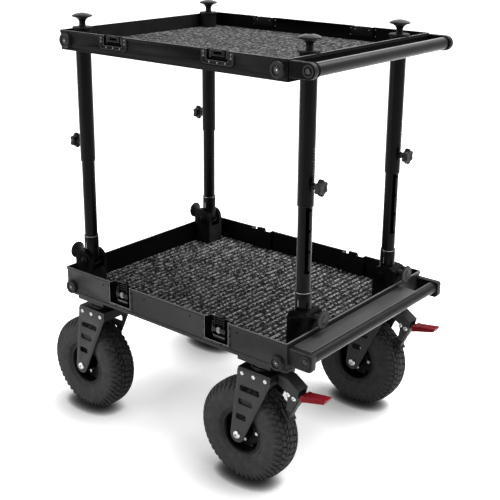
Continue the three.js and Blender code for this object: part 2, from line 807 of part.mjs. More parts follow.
// Posts: each is built about its pivot, with +X to the outer side
function socket() {
  const half = socketWidth / 2;
  const base = lowerFloorZ + gap - pivotZ;
  const back = lowerLength / 2 - lipProud - sheet - gap - postSpread;
  const face = collarRadius + gap;
  const outline = new THREE.Shape();
  outline.moveTo(back, base);
  outline.lineTo(back, lockRise + lockNeckRadius);
  outline.lineTo(back - (back - face) * socketSlopeShare, lockRise + lockNeckRadius + socketSlopeRise);
  outline.lineTo(face, socketInward);
  outline.absarc(0, 0, socketInward, Math.PI / 2, Math.PI, false);
  outline.lineTo(-socketInward, base);
  const foot = footWidth / 2 + gap;
  const channel = block(
    [-socketInward - overrun, face],
    [-foot, foot],
    [-collarRadius - channelFloor, socketInward + overrun],
  );
  const screwHole = bore("x", lockScrewRadius, [0, back + overrun], [0, lockRise]);
  const pin = bar("y", pivotPinRadius, [-half, half], [0, 0], pinSides);
  const heads = [-1, 1].map((side) =>
    bar("y", pivotHeadRadius, across(side, [half, half + pivotHeadThickness]), [0, 0], pinSides),
  );
  return join(cut(upright(outline, [-half, half]), channel, screwHole), pin, ...heads);
}

function ladderCuts() {
  const depth = [lowerTubeRadius - ladderDepth, lowerTubeRadius + overrun];
  const top = ladderStart + ladderSteps * ladderPitch;
  const rail = block(depth, [-ladderWidth / 2, ladderWidth / 2], [ladderStart - notchHeight / 2, top]);
  const cuts = [rail.rotate([0, 0, ladderTurn])];
  for (let step = 0; step < ladderSteps; step++) {
    const z = ladderStart + step * ladderPitch;
    const notch = block(depth, [-notchWidth / 2, notchWidth / 2], [z - notchHeight / 2, z + notchHeight / 2]);
    cuts.push(notch.rotate([0, 0, ladderTurn - notchTurn]));
  }
  return cuts;
}

function lowerPost() {
  const round = bar("y", collarRadius, [-footWidth / 2, footWidth / 2], [0, 0]);
  const shank = bar("z", collarRadius, [0, footTop], [0, 0]);
  const flats = block([-collarRadius, collarRadius], [-footWidth / 2, footWidth / 2], [0, footTop]);
  const body = turned(
    [
      [0, footTop],
      [collarRadius, footTop],
      [collarRadius, collarTop - collarChamfer],
      [collarRadius - collarChamfer, collarTop],
      [lowerTubeRadius, collarTop],
      [lowerTubeRadius, lowerTubeTop],
      [lowerTubeBore, lowerTubeTop],
      [lowerTubeBore, collarTop],
      [0, collarTop],
    ],
    "z",
    tubeSides,
  );
  const eye = bore("y", pivotPinRadius, [-footWidth, footWidth], [0, 0]);
  return cut(join(round, shank.intersect(flats), body), eye, ...ladderCuts());
}

function upperPost() {
  const top = postLength - gap;
  const inner = upperTubeRadius - upperTubeWall;
  const tube = turned(
    [
      [inner, upperTubeEnd],
      [upperTubeRadius, upperTubeEnd],
      [upperTubeRadius, top],
      [0, top],
      [0, top - upperPlugDepth],
      [inner, top - upperPlugDepth],
      [inner, upperTubeEnd],
    ],
    "z",
    tubeSides,
  );
  const boss = bar("x", starBossRadius, [inner, upperTubeRadius + starBossLength], [0, starZ], discSides);
  const inside = bar("z", inner, [upperTubeEnd, top - upperPlugDepth], [0, 0]);
  const starHole = bore("x", starScrewRadius, [0, upperTubeRadius + starBossLength + overrun], [0, starZ]);
  const knobHole = bore("z", knobScrewRadius, [top - knobScrewDepth - overrun, top + overrun], [0, 0]);
  return cut(join(tube, cut(boss, inside)), starHole, knobHole);
}

function starKnob() {
  const seat = upperTubeRadius + starBossLength + gap;
  const face = seat + starNeckLength;
  const outline = [];
  const points = starLobes * starLobePoints;
  for (let i = 0; i < points; i++) {
    const angle = (2 * Math.PI * i) / points;
    const r = starRadius - starBevel - (starLobeDepth * (1 - Math.cos(starLobes * angle))) / 2;
    outline.push(new THREE.Vector2(r * Math.cos(angle), r * Math.sin(angle)));
  }
  const geometry = new THREE.ExtrudeGeometry(new THREE.Shape(outline), {
    depth: starThickness - 2 * starBevel,
    bevelThickness: starBevel,
    bevelSize: starBevel,
    bevelSegments: 1,
  });
  geometry.rotateY(Math.PI / 2);
  geometry.translate(face + starBevel, 0, starZ);
  const screw = bar("x", starScrewRadius, [lowerTubeRadius + gap, seat + overrun], [0, starZ], screwSides);
  const neck = bar("x", starNeckRadius, [seat, face + starBevel], [0, starZ], pinSides);
  return join(screw, neck, toSolid(geometry));
}

function lockKnob() {
  const seat = lowerLength / 2 - lipProud - sheet - postSpread;
  const flare = seat + lockNeckLength;
  const disc = flare + lockFlare;
  return turned(
    [
      [0, collarRadius + gap],
      [lockScrewRadius, collarRadius + gap],
      [lockScrewRadius, seat],
      [lockNeckRadius, seat],
      [lockNeckRadius, flare],
      [lockDiscRadius, disc],
      [lockDiscRadius, disc + lockRimThickness],
      [0, disc + lockRimThickness + lockDome],
    ],
    "x",
    discSides,
  ).translate([0, 0, lockRise]);
}

function trayKnob() {
  const base = sleeveTopZ + gap;
  const flare = base + knobStemLength;
  const head = flare + knobFlareLength;
  const brim = head + knobRimThickness;
  return turned(
    [
      [0, topZ - gap - knobScrewDepth],
      [knobScrewRadius, topZ - gap - knobScrewDepth],
      [knobScrewRadius, base],
      [knobStemRadius, base],
      [knobStemRadius, flare],
      [knobHeadRadius, head],
      [knobHeadRadius, brim],
      [knobHeadRadius / 2, brim + knobDome * knobDomeShare],
      [0, brim + knobDome],
    ],
    "z",
    discSides,
  );
}

// Push handle and bumper
function boltedPlate(outline, side, [inner, outer], centre) {
  const plate = upright(outline, across(side, [inner, outer]));
  const head = across(side, [inner, outer + boltHeadThickness]);
  return join(plate, bar("y", boltHeadRadius, head, centre, headSides));
}

const handleZ = topRimZ - handleDrop;
const handleX = topLength / 2 + handleReach;
const bracketOuter = topWidth / 2 - handleBracketInset;
const bracketInner = bracketOuter - handleBracketThickness;

function handleBracket(side) {
  const start = topLength / 2 + gap;
  const outline = new THREE.Shape();
  outline.moveTo(start, handleZ - handleBracketRadius);
  outline.absarc(handleX, handleZ, handleBracketRadius, -Math.PI / 2, Math.PI / 2, false);
  outline.lineTo(start, handleZ + handleBracketRadius);
  return boltedPlate(outline, side, [bracketInner, bracketOuter], [handleX, handleZ]);
}

function pushHandle() {
  const end = bracketInner - gap;
  const collars = [-1, 1].map((side) =>
    bar("y", handleCollarRadius, across(side, [end - handleCollarLength, end]), [handleX, handleZ]),
  );
  const tube = join(bar("y", handleRadius, [-end, end], [handleX, handleZ]), ...collars);
  return cut(tube, bar("y", handleRadius - handleWall, [-end - overrun, end + overrun], [handleX, handleZ]));
}

const barX = lowerLength / 2 + barReach;
const barZ = lowerRimZ - barDrop;
const lugOuter = lowerWidth / 2 - lugInset;
const lugInner = lugOuter - lugThickness;

function bumperLug(side) {
  const start = lowerLength / 2 - lipProud + gap;
  const [end, foot, top] = [barX + lugReach, barZ - lugBelow, barZ + barRadius + gap + shelfThickness];
  const outline = new THREE.Shape();
  outline.moveTo(start, foot);
  outline.absarc(end - lugCorner, foot + lugCorner, lugCorner, -Math.PI / 2, 0, false);
  outline.absarc(end - lugTopCorner, top - lugTopCorner, lugTopCorner, 0, Math.PI / 2, false);
  outline.lineTo(start, top);
  return boltedPlate(outline, side, [lugInner, lugOuter], [barX, barZ]);
}

function bumperBar() {
  return join(bar("y", barRadius, [-lugOuter, lugOuter], [barX, barZ]), bumperLug(-1), bumperLug(1));
}

function bumperShelf() {
  const z = barZ + barRadius + gap;
  return block(
    [lowerLength / 2 - lipProud + gap, barX + shelfOverBar],
    [-lugInner + shelfNearGap, lugInner - shelfFarGap],
    [z, z + shelfThickness],
  );
}

// The cart
const cart = new THREE.Group();
cart.add(
  mesh("lower_tray", lowerTray(), "tray"),
  mesh("lower_mat", lowerMat(), "mat"),
  mesh("bumper_bar", bumperBar(), "tray"),
  mesh("bumper_shelf", bumperShelf(), "tray"),
  mesh("top_tray", topTray(), "tray"),
  mesh("top_mat", topMat(), "mat"),
  mesh("push_handle", pushHandle(), "tube"),
  mesh("handle_bracket_left", handleBracket(-1), "tray"),
  mesh("handle_bracket_right", handleBracket(1), "tray"),
);

for (const corner of corners) {
  const { name, end, side, track } = corner;
  cart.add(mesh("latch_wing_" + name, latchWing(corner), "steel"));

  const caster = new THREE.Group();
  caster.position.set(end * casterSpread, side * casterTrack, 0);
  caster.add(
    mesh("caster_fork_" + name, fork(), "fork"),
    mesh("caster_axle_" + name, axle(), "steel"),
    mesh("wheel_rim_" + name, rim(), "rim"),
    mesh("wheel_tyre_" + name, tyre(), "rubber"),
  );
  if (end > 0) {
    caster.add(
      mesh("brake_bracket_" + name, brakeBracket(), "fork"),
      mesh("brake_lever_" + name, brakeLever(), "knob"),
      mesh("brake_pedal_" + name, brakePedal(), "pedal"),
    );
  }
  cart.add(caster);

  const post = new THREE.Group();
  post.position.set(end * postSpread, side * track, pivotZ);
  post.rotation.z = end > 0 ? 0 : Math.PI;
  post.add(
    mesh("post_socket_" + name, socket(), "knob"),
    mesh("post_lower_" + name, lowerPost(), "tube"),
    mesh("post_upper_" + name, upperPost(), "tube"),
    mesh("star_knob_" + name, starKnob(), "knob"),
    mesh("lock_knob_" + name, lockKnob(), "knob"),
  );
  cart.add(post);

  const knob = mesh("tray_knob_" + name, trayKnob(), "knob");
  knob.position.set(end * postSpread, side * track, 0);
  cart.add(knob);
}

export default cart;
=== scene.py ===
# Looks for a folding two-tray equipment cart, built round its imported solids.
# Lengths are in millimetres until a piece is finished, and in metres from then on.
import json
import math

import bmesh
import bpy
from mathutils import Matrix, Vector, noise


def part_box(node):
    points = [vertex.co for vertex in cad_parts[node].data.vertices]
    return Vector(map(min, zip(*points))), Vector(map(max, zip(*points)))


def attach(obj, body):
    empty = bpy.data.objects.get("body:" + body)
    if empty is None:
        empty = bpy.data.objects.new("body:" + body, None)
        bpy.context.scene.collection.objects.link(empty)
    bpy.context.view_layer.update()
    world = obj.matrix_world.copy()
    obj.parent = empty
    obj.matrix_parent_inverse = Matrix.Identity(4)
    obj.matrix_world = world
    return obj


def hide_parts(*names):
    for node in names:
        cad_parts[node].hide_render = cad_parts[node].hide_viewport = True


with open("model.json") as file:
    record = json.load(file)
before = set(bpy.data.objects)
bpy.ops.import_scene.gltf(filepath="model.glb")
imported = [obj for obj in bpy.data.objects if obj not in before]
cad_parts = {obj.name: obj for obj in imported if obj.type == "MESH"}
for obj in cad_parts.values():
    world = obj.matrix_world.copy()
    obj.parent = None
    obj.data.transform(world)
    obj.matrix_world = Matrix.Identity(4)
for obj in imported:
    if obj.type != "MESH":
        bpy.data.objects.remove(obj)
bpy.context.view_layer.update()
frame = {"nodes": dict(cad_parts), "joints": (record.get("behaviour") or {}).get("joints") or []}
nodes = frame["nodes"]
joints = {joint["name"]: joint for joint in frame["joints"]}
scene = bpy.context.scene
mm = 0.001
fullTurn = 2 * math.pi
corners = {"rear_left": (1, -1), "rear_right": (1, 1), "front_left": (-1, -1), "front_right": (-1, 1)}
print("frame loaded:", len(nodes), "solids")


def jointPlace(name):
    return Vector(joints[name]["pos_m"]) / mm


def nodeBox(name):
    low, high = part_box(name)
    return Vector(low) / mm, Vector(high) / mm


def shift(x=0, y=0, z=0):
    return Matrix.Translation((x, y, z))


def turn(degrees, axis):
    return Matrix.Rotation(math.radians(degrees), 4, axis)


def newObject(name, data):
    made = bpy.data.objects.new(name, data)
    scene.collection.objects.link(made)
    return made


def toMesh(bm, name):
    data = bpy.data.meshes.new(name)
    bm.to_mesh(data)
    return data


# Camera, at the photograph's angle and distance
view = {
    "place": (1516.03, -1836.69, 1329.55), "yaw": 39.139, "pitch": -17.057, "roll": 0.485,
    "lens": 68.9, "sensor": 36, "shiftY": -0.1008, "near": 0.05, "far": 60,
}


def makeCamera():
    data = bpy.data.cameras.new("camera")
    data.lens = view["lens"]
    data.sensor_width = view["sensor"]
    data.shift_y = view["shiftY"]
    data.clip_start = view["near"]
    data.clip_end = view["far"]
    camera = newObject("camera", data)
    turned = turn(view["yaw"], "Z") @ turn(90 + view["pitch"], "X") @ turn(view["roll"], "Z")
    camera.matrix_world = shift(*(Vector(view["place"]) * mm)) @ turned
    scene.camera = camera


# Node helpers: a socket is given a value, or another node's output to link
def setSockets(tree, node, sockets):
    for key, value in sockets.items():
        if isinstance(value, bpy.types.NodeSocket):
            tree.links.new(value, node.inputs[key])
        else:
            node.inputs[key].default_value = value


def addNode(tree, kind, sockets=None, **settings):
    node = tree.nodes.new("ShaderNode" + kind)
    for key, value in settings.items():
        setattr(node, key, value)
    setSockets(tree, node, sockets or {})
    return node


def addMath(tree, operation, first, second):
    return addNode(tree, "Math", {0: first, 1: second}, operation=operation).outputs[0]


def multiply(tree, total, *factors):
    for factor in factors:
        total = addMath(tree, "MULTIPLY", total, factor)
    return total


def scaleVector(tree, vector, scale):
    return addNode(tree, "VectorMath", {0: vector, "Scale": scale}, operation="SCALE").outputs[0]


def addRange(tree, value, low, high, newLow=0.0, newHigh=1.0):
    sockets = {"Value": value, "From Min": low, "From Max": high, "To Min": newLow, "To Max": newHigh}
    return addNode(tree, "MapRange", sockets, clamp=True).outputs[0]


def addMix(tree, factor, first, second):
    return addNode(tree, "Mix", {0: factor, 6: first, 7: second}, data_type="RGBA").outputs[2]


def addNoise(tree, scale, detail, rough=0.5):
    sockets = {"Vector": coordinates(tree, "Object"), "Scale": scale, "Detail": detail, "Roughness": rough}
    return addNode(tree, "TexNoise", sockets)


def coordinates(tree, kind):
    return addNode(tree, "TexCoord").outputs[kind]


def gray(level):
    return (level, level, level, 1)


def newMaterial(name, specular):
    material = bpy.data.materials.new(name)
    material.use_nodes = True
    tree = material.node_tree
    shader = tree.nodes["Principled BSDF"]
    shader.inputs["Specular IOR Level"].default_value = specular
    return material, tree, shader


# Studio: white floor with painted shadows round the tyres and a painted shade under the cart, soft lamps,
# plain white surroundings
studio = {
    "floorSize": 60000,
    "floorShade": 0.8,
    # the floor's colour inside its painted shadows
    "shadowShade": 0.05,
    "bareShade": 0.72,  # the floor as it lights the cart
    "floorGlow": (0.56, 1.32),  # glow under the cart and far from it; weaker under the cart, a painted shade there
    "glowSpan": (0.22, 0.62),  # in metres from the middle
    "contact": ((0.16, 1.35), (0.032, 3.0)),  # reach and strength of the painted soft and tight shadows round the tyres, from ambient occlusion
    "contactLight": (0.24, 0.50, 0.80),  # where the light round them is taken to come from, which sets where the painted shadows fall
    "contactSamples": 12,
    "fill": 0.30,
    "darkSide": (0.62, -0.72, 0.31),  # where the studio is unlit, for reflections
    "darkSpan": 0.7,
    "darkLevel": 0.10,
    "lamps": {
        "top": {"place": (700, 900, 3200), "aim": (0, 0, 400), "size": 3000, "power": 190},
        "left": {"place": (-1500, -3000, 1500), "aim": (0, 0, 500), "size": 2600, "power": 74},
        "right": {"place": (3300, 500, 1300), "aim": (0, 0, 600), "size": 2200, "power": 13},
    },
}


def areaLamp(name, place, aim, size, power):
    data = bpy.data.lights.new(name, "AREA")
    data.shape = "SQUARE"
    data.size = size * mm
    data.energy = power
    lamp = newObject(name, data)
    lamp.location = Vector(place) * mm
    lamp.rotation_euler = (Vector(aim) - Vector(place)).to_track_quat("-Z", "Y").to_euler()


# Mixes what lights the cart with what the camera, reflections and glass see
def mixForSight(tree, light, seen, output):
    path = addNode(tree, "LightPath").outputs
    sight = path["Is Camera Ray"]
    for title in ("Is Glossy Ray", "Is Transmission Ray"):
        sight = addMath(tree, "MAXIMUM", sight, path[title])
    mix = addNode(tree, "MixShader", {0: sight, 1: light.outputs[0], 2: seen.outputs[0]})
    setSockets(tree, tree.nodes[output], {0: mix.outputs[0]})


def makeWorld():
    world = bpy.data.worlds.new("studio")
    scene.world = world
    world.use_nodes = True
    tree = world.node_tree
    rays = {0: coordinates(tree, "Generated"), 1: studio["darkSide"]}
    toward = addNode(tree, "VectorMath", rays, operation="DOT_PRODUCT").outputs["Value"]
    shade = addRange(tree, toward, 0.0, studio["darkSpan"], 1.0, studio["darkLevel"])
    strength = addMath(tree, "MAXIMUM", shade, addNode(tree, "LightPath").outputs["Is Camera Ray"])
    white = tree.nodes["Background"]
    setSockets(tree, white, {"Color": gray(1), "Strength": strength})
    dim = addNode(tree, "Background", {"Color": gray(1), "Strength": studio["fill"]})
    mixForSight(tree, dim, white, "World Output")


def makeFloor():
    bm = bmesh.new()
    bmesh.ops.create_grid(bm, x_segments=1, y_segments=1, size=studio["floorSize"] * mm / 2)
    floor = newObject("floor", toMesh(bm, "floor"))
    bm.free()
    ground, tree, shader = newMaterial("white_floor", 0)
    # The glow grows with distance from the middle, so it is weaker under the cart: painted shade there.
    away = addNode(tree, "VectorMath", {0: coordinates(tree, "Object")}, operation="LENGTH").outputs["Value"]
    lit = addRange(tree, away, *studio["glowSpan"], *studio["floorGlow"])
    slant = addNode(tree, "CombineXYZ", dict(enumerate(studio["contactLight"]))).outputs[0]
    # Ambient occlusion near the tyres darkens the floor's colour and glow: painted contact shadows.
    paintedShadows = []
    for reach, strength in studio["contact"]:
        sockets = {"Distance": reach, "Normal": slant}
        sky = addNode(tree, "AmbientOcclusion", sockets, samples=studio["contactSamples"])
        paintedShadows.append(addMath(tree, "POWER", sky.outputs["AO"], strength))
    soft = multiply(tree, *paintedShadows)
    glow = addNode(tree, "Emission", {"Strength": multiply(tree, lit, soft)})
    color = addMix(tree, soft, gray(studio["shadowShade"]), gray(studio["floorShade"]))
    setSockets(tree, shader, {"Roughness": 1, "Base Color": color})
    both = addNode(tree, "AddShader", {0: shader.outputs[0], 1: glow.outputs[0]})
    bare = addNode(tree, "BsdfDiffuse", {"Color": gray(studio["bareShade"])})
    mixForSight(tree, bare, both, "Material Output")
    floor.data.materials.append(ground)


makeCamera()
makeWorld()
makeFloor()
for lampName, lampValues in studio["lamps"].items():
    areaLamp("lamp_" + lampName, **lampValues)
scene.view_settings.view_transform = "Standard"
print("camera and studio ready")


# Shader groups: an output called Color is one, and the others are numbers
def newGroup(name, inputs, outputs):
    group = bpy.data.node_groups.new(name, "ShaderNodeTree")
    kinds = {True: "NodeSocketColor", False: "NodeSocketFloat"}
    for title, value in inputs.items():
        kind = kinds[isinstance(value, tuple)]
        group.interface.new_socket(name=title, in_out="INPUT", socket_type=kind).default_value = value
    for title in outputs:
        group.interface.new_socket(name=title, in_out="OUTPUT", socket_type=kinds[title == "Color"])
    return group, group.nodes.new("NodeGroupInput").outputs, group.nodes.new("NodeGroupOutput")


# Grain of a finish: fine pitting, with slow mottling of its colour and gloss
def makeGrainGroup():
    inputs = {"Color": gray(0.5), "Roughness": 0.5, "Grain Scale": 900.0, "Mottle Scale": 14.0, "Mottle": 0.2}
    inputs["Roughness Spread"] = 0.1
    group, given, out = newGroup("surface_grain", inputs, ("Color", "Roughness", "Height"))
    fine = addNoise(group, given["Grain Scale"], 3.0, 0.6).outputs[0]
    slow = addNoise(group, given["Mottle Scale"], 5.0, 0.65).outputs[0]
    slowWave = addRange(group, slow, 0.3, 0.7, -0.5, 0.5)
    fineWave = addRange(group, fine, 0.35, 0.65, -0.5, 0.5)
    wave = addMath(group, "ADD", slowWave, multiply(group, fineWave, 0.5))
    gain = addMath(group, "ADD", multiply(group, wave, given["Mottle"]), 1.0)
    rough = addMath(group, "ADD", given["Roughness"], multiply(group, wave, given["Roughness Spread"]))
    made = {"Color": scaleVector(group, given["Color"], gain), "Roughness": rough, "Height": fine}
    setSockets(group, out, made)
    return group


# Wear and painted highlight: the bevelled edges, marked by the attribute "edge", broken up by noise, take a
# paler colour that stands both for worn paint and for the highlights along the edges
def makeWearAndHighlightGroup():
    group, given, out = newGroup("edge_wear_and_highlight", {"Amount": 0.5, "Scale": 60.0}, ("Mask",))
    edge = addNode(group, "Attribute", attribute_name="edge").outputs["Fac"]
    patches = addNoise(group, given["Scale"], 6.0, 0.7).outputs[0]
    broken = addRange(group, patches, 0.38, 0.62, 0.25, 1.0)
    setSockets(group, out, {"Mask": multiply(group, edge, broken, given["Amount"])})
    return group


# Dust: lies on what faces up, in thin uneven patches
def makeDustGroup():
    group, given, out = newGroup("light_dust", {"Amount": 0.2, "Scale": 25.0}, ("Mask",))
    facing = addNode(group, "NewGeometry").outputs["Normal"]
    up = addNode(group, "SeparateXYZ", {0: facing}).outputs["Z"]
    patches = addNoise(group, given["Scale"], 8.0, 0.72).outputs[0]
    cloud = addRange(group, patches, 0.35, 0.75)
    mask = multiply(group, addRange(group, up, -0.4, 1.0, 0.15, 1.0), cloud, given["Amount"])
    setSockets(group, out, {"Mask": mask})
    return group


# Pile: loops or tufts of yarn, each of its own tone and darker towards its edge, a painted shade between the
# tufts, on points that a fine noise pushes about
def makePileGroup():
    inputs = {"Dark": gray(0.01), "Light": gray(0.2), "Yarn Scale": 260.0, "Bright Share": 0.5}
    group, given, out = newGroup("yarn_pile", inputs, ("Color", "Height"))
    push = scaleVector(group, addNoise(group, 420.0, 2.0).outputs["Color"], 0.0030)
    points = addNode(group, "VectorMath", {0: coordinates(group, "Object"), 1: push}, operation="ADD")
    sockets = {"Randomness": 0.9, "Vector": points.outputs[0], "Scale": given["Yarn Scale"]}
    cells = addNode(group, "TexVoronoi", sockets).outputs
    tone = addNode(group, "SeparateColor", {0: cells["Color"]}).outputs[0]
    low = addMath(group, "SUBTRACT", 0.75, given["Bright Share"])
    high = addMath(group, "SUBTRACT", 1.35, given["Bright Share"])
    # each cell darkens towards its edge: painted shade between the tufts
    crown = addRange(group, cells["Distance"], 0.0, 0.75, 1.0, 0.0)
    factor = multiply(group, addRange(group, tone, low, high), addRange(group, crown, 0.0, 1.0, 0.15, 1.0))
    strand = addRange(group, addNoise(group, 1500.0, 2.0, 0.7).outputs[0], 0.32, 0.68, 0.45, 1.5)
    color = scaleVector(group, addMix(group, factor, given["Dark"], given["Light"]), strand)
    height = addMath(group, "ADD", crown, multiply(group, strand, 0.25))
    setSockets(group, out, {"Color": color, "Height": height})
    return group


grainGroup = makeGrainGroup()
wearAndHighlightGroup = makeWearAndHighlightGroup()
dustGroup = makeDustGroup()
pileGroup = makePileGroup()
print("shader groups ready")


# Paints and plastics: colour, roughness, specular, grain, bump, worn colour, wear and dust; the worn colour
# on the bevelled edges is worn paint and a painted edge highlight in one
paints = {
    "trayPaint": ((0.0120, 0.0122, 0.0126), 0.52, 0.13, 700, 0.06, (0.15, 0.15, 0.155), 0.7, 0.04),
    # the top tray's paint is a darker copy of trayPaint, since that tray gets less light from the floor:
    # painted shade
    "shadedTopTrayPaint": ((0.0045, 0.0046, 0.0048), 0.52, 0.06, 700, 0.06, (0.13, 0.13, 0.135), 0.7, 0.02),
    # pale paint on the tray rims' top faces and the latch pocket rims: a painted highlight
    "paleRimHighlight": ((0.120, 0.121, 0.123), 0.50, 0.20, 700, 0.05, (0.20, 0.20, 0.205), 0.6, 0.04),
    # dark paint for the trays' insides, the top tray's rear face, the handle's collars and the plates inside
    # the walls: painted shade
    "paintedWellShade": ((0.0030, 0.0030, 0.0032), 0.62, 0.012, 700, 0.06, (0.04, 0.04, 0.04), 0.6, 0.012),
    "trayPlastic": ((0.009, 0.009, 0.0095), 0.44, 0.12, 900, 0.05, (0.09, 0.09, 0.09), 0.6, 0.02),
    # dead black: painted shade in the ladder grooves and the latch and keeper pockets and slots, and the own
    # black of the latch rivets
    "shadePaint": ((0.0004, 0.0004, 0.0004), 0.9, 0.0, 900, 0.02, (0.01, 0.01, 0.01), 0.2, 0.0),
    "socketPaint": ((0.0004, 0.0004, 0.0004), 0.42, 0.03, 900, 0.04, (0.05, 0.05, 0.05), 0.6, 0.008),
    "tubePaint": ((0.0008, 0.0008, 0.0009), 0.31, 0.06, 1000, 0.02, (0.10, 0.10, 0.10), 0.6, 0.01),
    "gripPlastic": ((0.0080, 0.0080, 0.0083), 0.40, 0.06, 1100, 0.05, (0.07, 0.07, 0.07), 0.4, 0.02),
    "handlePaint": ((0.0090, 0.0091, 0.0094), 0.34, 0.08, 1000, 0.03, (0.15, 0.15, 0.15), 0.6, 0.03),
    "shelfPaint": ((0.052, 0.0524, 0.053), 0.42, 0.12, 1000, 0.03, (0.15, 0.15, 0.15), 0.6, 0.03),
    "forkPaint": ((0.032, 0.0325, 0.033), 0.56, 0.14, 800, 0.07, (0.18, 0.18, 0.185), 0.6, 0.04),
    "crownPaint": ((0.0025, 0.0025, 0.0027), 0.42, 0.10, 800, 0.05, (0.10, 0.10, 0.10), 0.6, 0.01),
    "rimPaint": ((0.0012, 0.0012, 0.0014), 0.36, 0.07, 900, 0.04, (0.05, 0.05, 0.05), 0.4, 0.01),
    "knobPlastic": ((0.010, 0.010, 0.0105), 0.46, 0.14, 1100, 0.06, (0.07, 0.07, 0.07), 0.4, 0.03),
    "latchSteel": ((0.040, 0.040, 0.041), 0.40, 0.35, 900, 0.05, (0.24, 0.24, 0.24), 0.9, 0.02),
    "pedalPlastic": ((0.17, 0.0026, 0.0085), 0.42, 0.10, 900, 0.05, (0.48, 0.05, 0.08), 0.8, 0.0),
}
paintedOutlineHighlights = {  # painted highlight: a paler base colour where the surface turns away from the eye, standing for the studio's reflection at grazing angles: how bright, and from where to where
    "tubePaint": (0.22, 0.5, 0.95), "gripPlastic": (0.14, 0.50, 0.98), "handlePaint": (0.30, 0.66, 0.98),
}
steels = {
    "zincSteel": ((0.46, 0.46, 0.45), 0.34),
    "ringSteel": ((0.28, 0.28, 0.275), 0.26),
    "dullSteel": ((0.15, 0.15, 0.15), 0.42),
    "darkSteel": ((0.035, 0.035, 0.037), 0.40),
}
rubber = ((0.026, 0.026, 0.027), 0.80, 0.22, 520, 0.22, (0.085, 0.085, 0.086), 0.45, 0.16)
ink = ((0.42, 0.42, 0.42), 0.7, 0.2, 1200, 0.05, (0.42, 0.42, 0.42), 0.0, 0.0)
surface = {
    "metallic": 0.0, "mottleScale": 14.0, "mottle": 0.2, "wearAndHighlightScale": 60.0, "bumpDepth": 0.0006,
    "dustScale": 25.0, "dustColor": (0.32, 0.31, 0.29), "dustRough": 0.3,
}
steelSurface = {
    "metallic": 0.92, "mottleScale": 60.0, "mottle": 0.25, "wearAndHighlightScale": 140.0, "bumpDepth": 0.0004,
}
rubberSurface = {
    "mottleScale": 52.0, "mottle": 1.0, "wearAndHighlightScale": 90.0, "bumpDepth": 0.0009,
    "dustScale": 38.0, "dustColor": (0.22, 0.215, 0.205), "dustRough": 0.0,
}
inkSurface = {"mottleScale": 90.0, "mottle": 0.6, "bumpDepth": 0.0002}
piles = {  # dark and light yarn, yarns to the metre, share of light ones, bump
    "lowerPile": ((0.0022, 0.0022, 0.0024), (0.86, 0.86, 0.865), 185.0, 0.47, 1.0),
    "topPile": ((0.005, 0.005, 0.0052), (0.34, 0.34, 0.342), 165.0, 0.40, 0.9),
}
pileSurface = {"specular": 0.08, "rough": 0.96, "sheen": 0.05, "sheenRough": 0.5, "bumpDepth": 0.0022}
materials = {}


def useGroup(tree, group, sockets):
    node = addNode(tree, "Group", node_tree=group)
    setSockets(tree, node, sockets)
    return node.outputs


def addBump(tree, height, strength, distance):
    sockets = {"Height": height, "Strength": strength, "Distance": distance}
    return addNode(tree, "Bump", sockets).outputs[0]


def surfaceMaterial(name, color, rough, specular, grain, bump, wornAndHighlight, wearAndHighlight, dust, changes=None):
    own = {**surface, **(changes or {})}
    material, tree, shader = newMaterial(name, specular)
    sockets = {"Color": color + (1,), "Roughness": rough, "Grain Scale": grain}
    sockets.update({"Mottle Scale": own["mottleScale"], "Mottle": own["mottle"]})
    grained = useGroup(tree, grainGroup, sockets)
    base, roughness = grained["Color"], grained["Roughness"]
    # the worn colour on the bevelled edges: worn paint and a painted edge highlight in one
    if wearAndHighlight:
        mask = useGroup(tree, wearAndHighlightGroup, {"Amount": wearAndHighlight, "Scale": own["wearAndHighlightScale"]})["Mask"]
        base = addMix(tree, mask, base, wornAndHighlight + (1,))
    if dust:
        mask = useGroup(tree, dustGroup, {"Amount": dust, "Scale": own["dustScale"]})["Mask"]
        base = addMix(tree, mask, base, own["dustColor"] + (1,))
        roughness = addMath(tree, "ADD", roughness, multiply(tree, mask, own["dustRough"]))
    # painted highlight along the outlines: the base colour turns paler at grazing angles
    if name in paintedOutlineHighlights:
        level, *span = paintedOutlineHighlights[name]
        facing = addNode(tree, "LayerWeight", {"Blend": 0.5}).outputs["Facing"]
        base = addMix(tree, addRange(tree, facing, *span), base, gray(level))
    normal = addBump(tree, grained["Height"], bump, own["bumpDepth"])
    made = {"Base Color": base, "Roughness": roughness, "Metallic": own["metallic"], "Normal": normal}
    setSockets(tree, shader, made)
    materials[name] = material


def pileMaterial(name, dark, light, yarn, share, bump):
    material, tree, shader = newMaterial(name, pileSurface["specular"])
    sockets = {"Dark": dark + (1,), "Light": light + (1,), "Yarn Scale": yarn, "Bright Share": share}
    pile = useGroup(tree, pileGroup, sockets)
    # the furrows between the ribs take the dark yarn's colour: painted shade in the furrows
    furrow = addNode(tree, "Attribute", attribute_name="furrow").outputs["Fac"]
    made = {
        "Roughness": pileSurface["rough"],
        "Sheen Weight": pileSurface["sheen"],
        "Sheen Roughness": pileSurface["sheenRough"],
        "Base Color": addMix(tree, furrow, pile["Color"], dark + (1,)),
        "Normal": addBump(tree, pile["Height"], bump, pileSurface["bumpDepth"]),
    }
    setSockets(tree, shader, made)
    materials[name] = material


for paintName, paint in paints.items():
    surfaceMaterial(paintName, *paint)
for steelName, (steelColor, steelRough) in steels.items():
    steel = (steelColor, steelRough, 0.5, 1300, 0.05, (0.8, 0.8, 0.78), 0.5, 0.0)
    surfaceMaterial(steelName, *steel, steelSurface)
surfaceMaterial("tyreRubber", *rubber, rubberSurface)
surfaceMaterial("paleInk", *ink, inkSurface)
for pileName, pileValues in piles.items():
    pileMaterial(pileName, *pileValues)
print("materials ready:", len(materials))


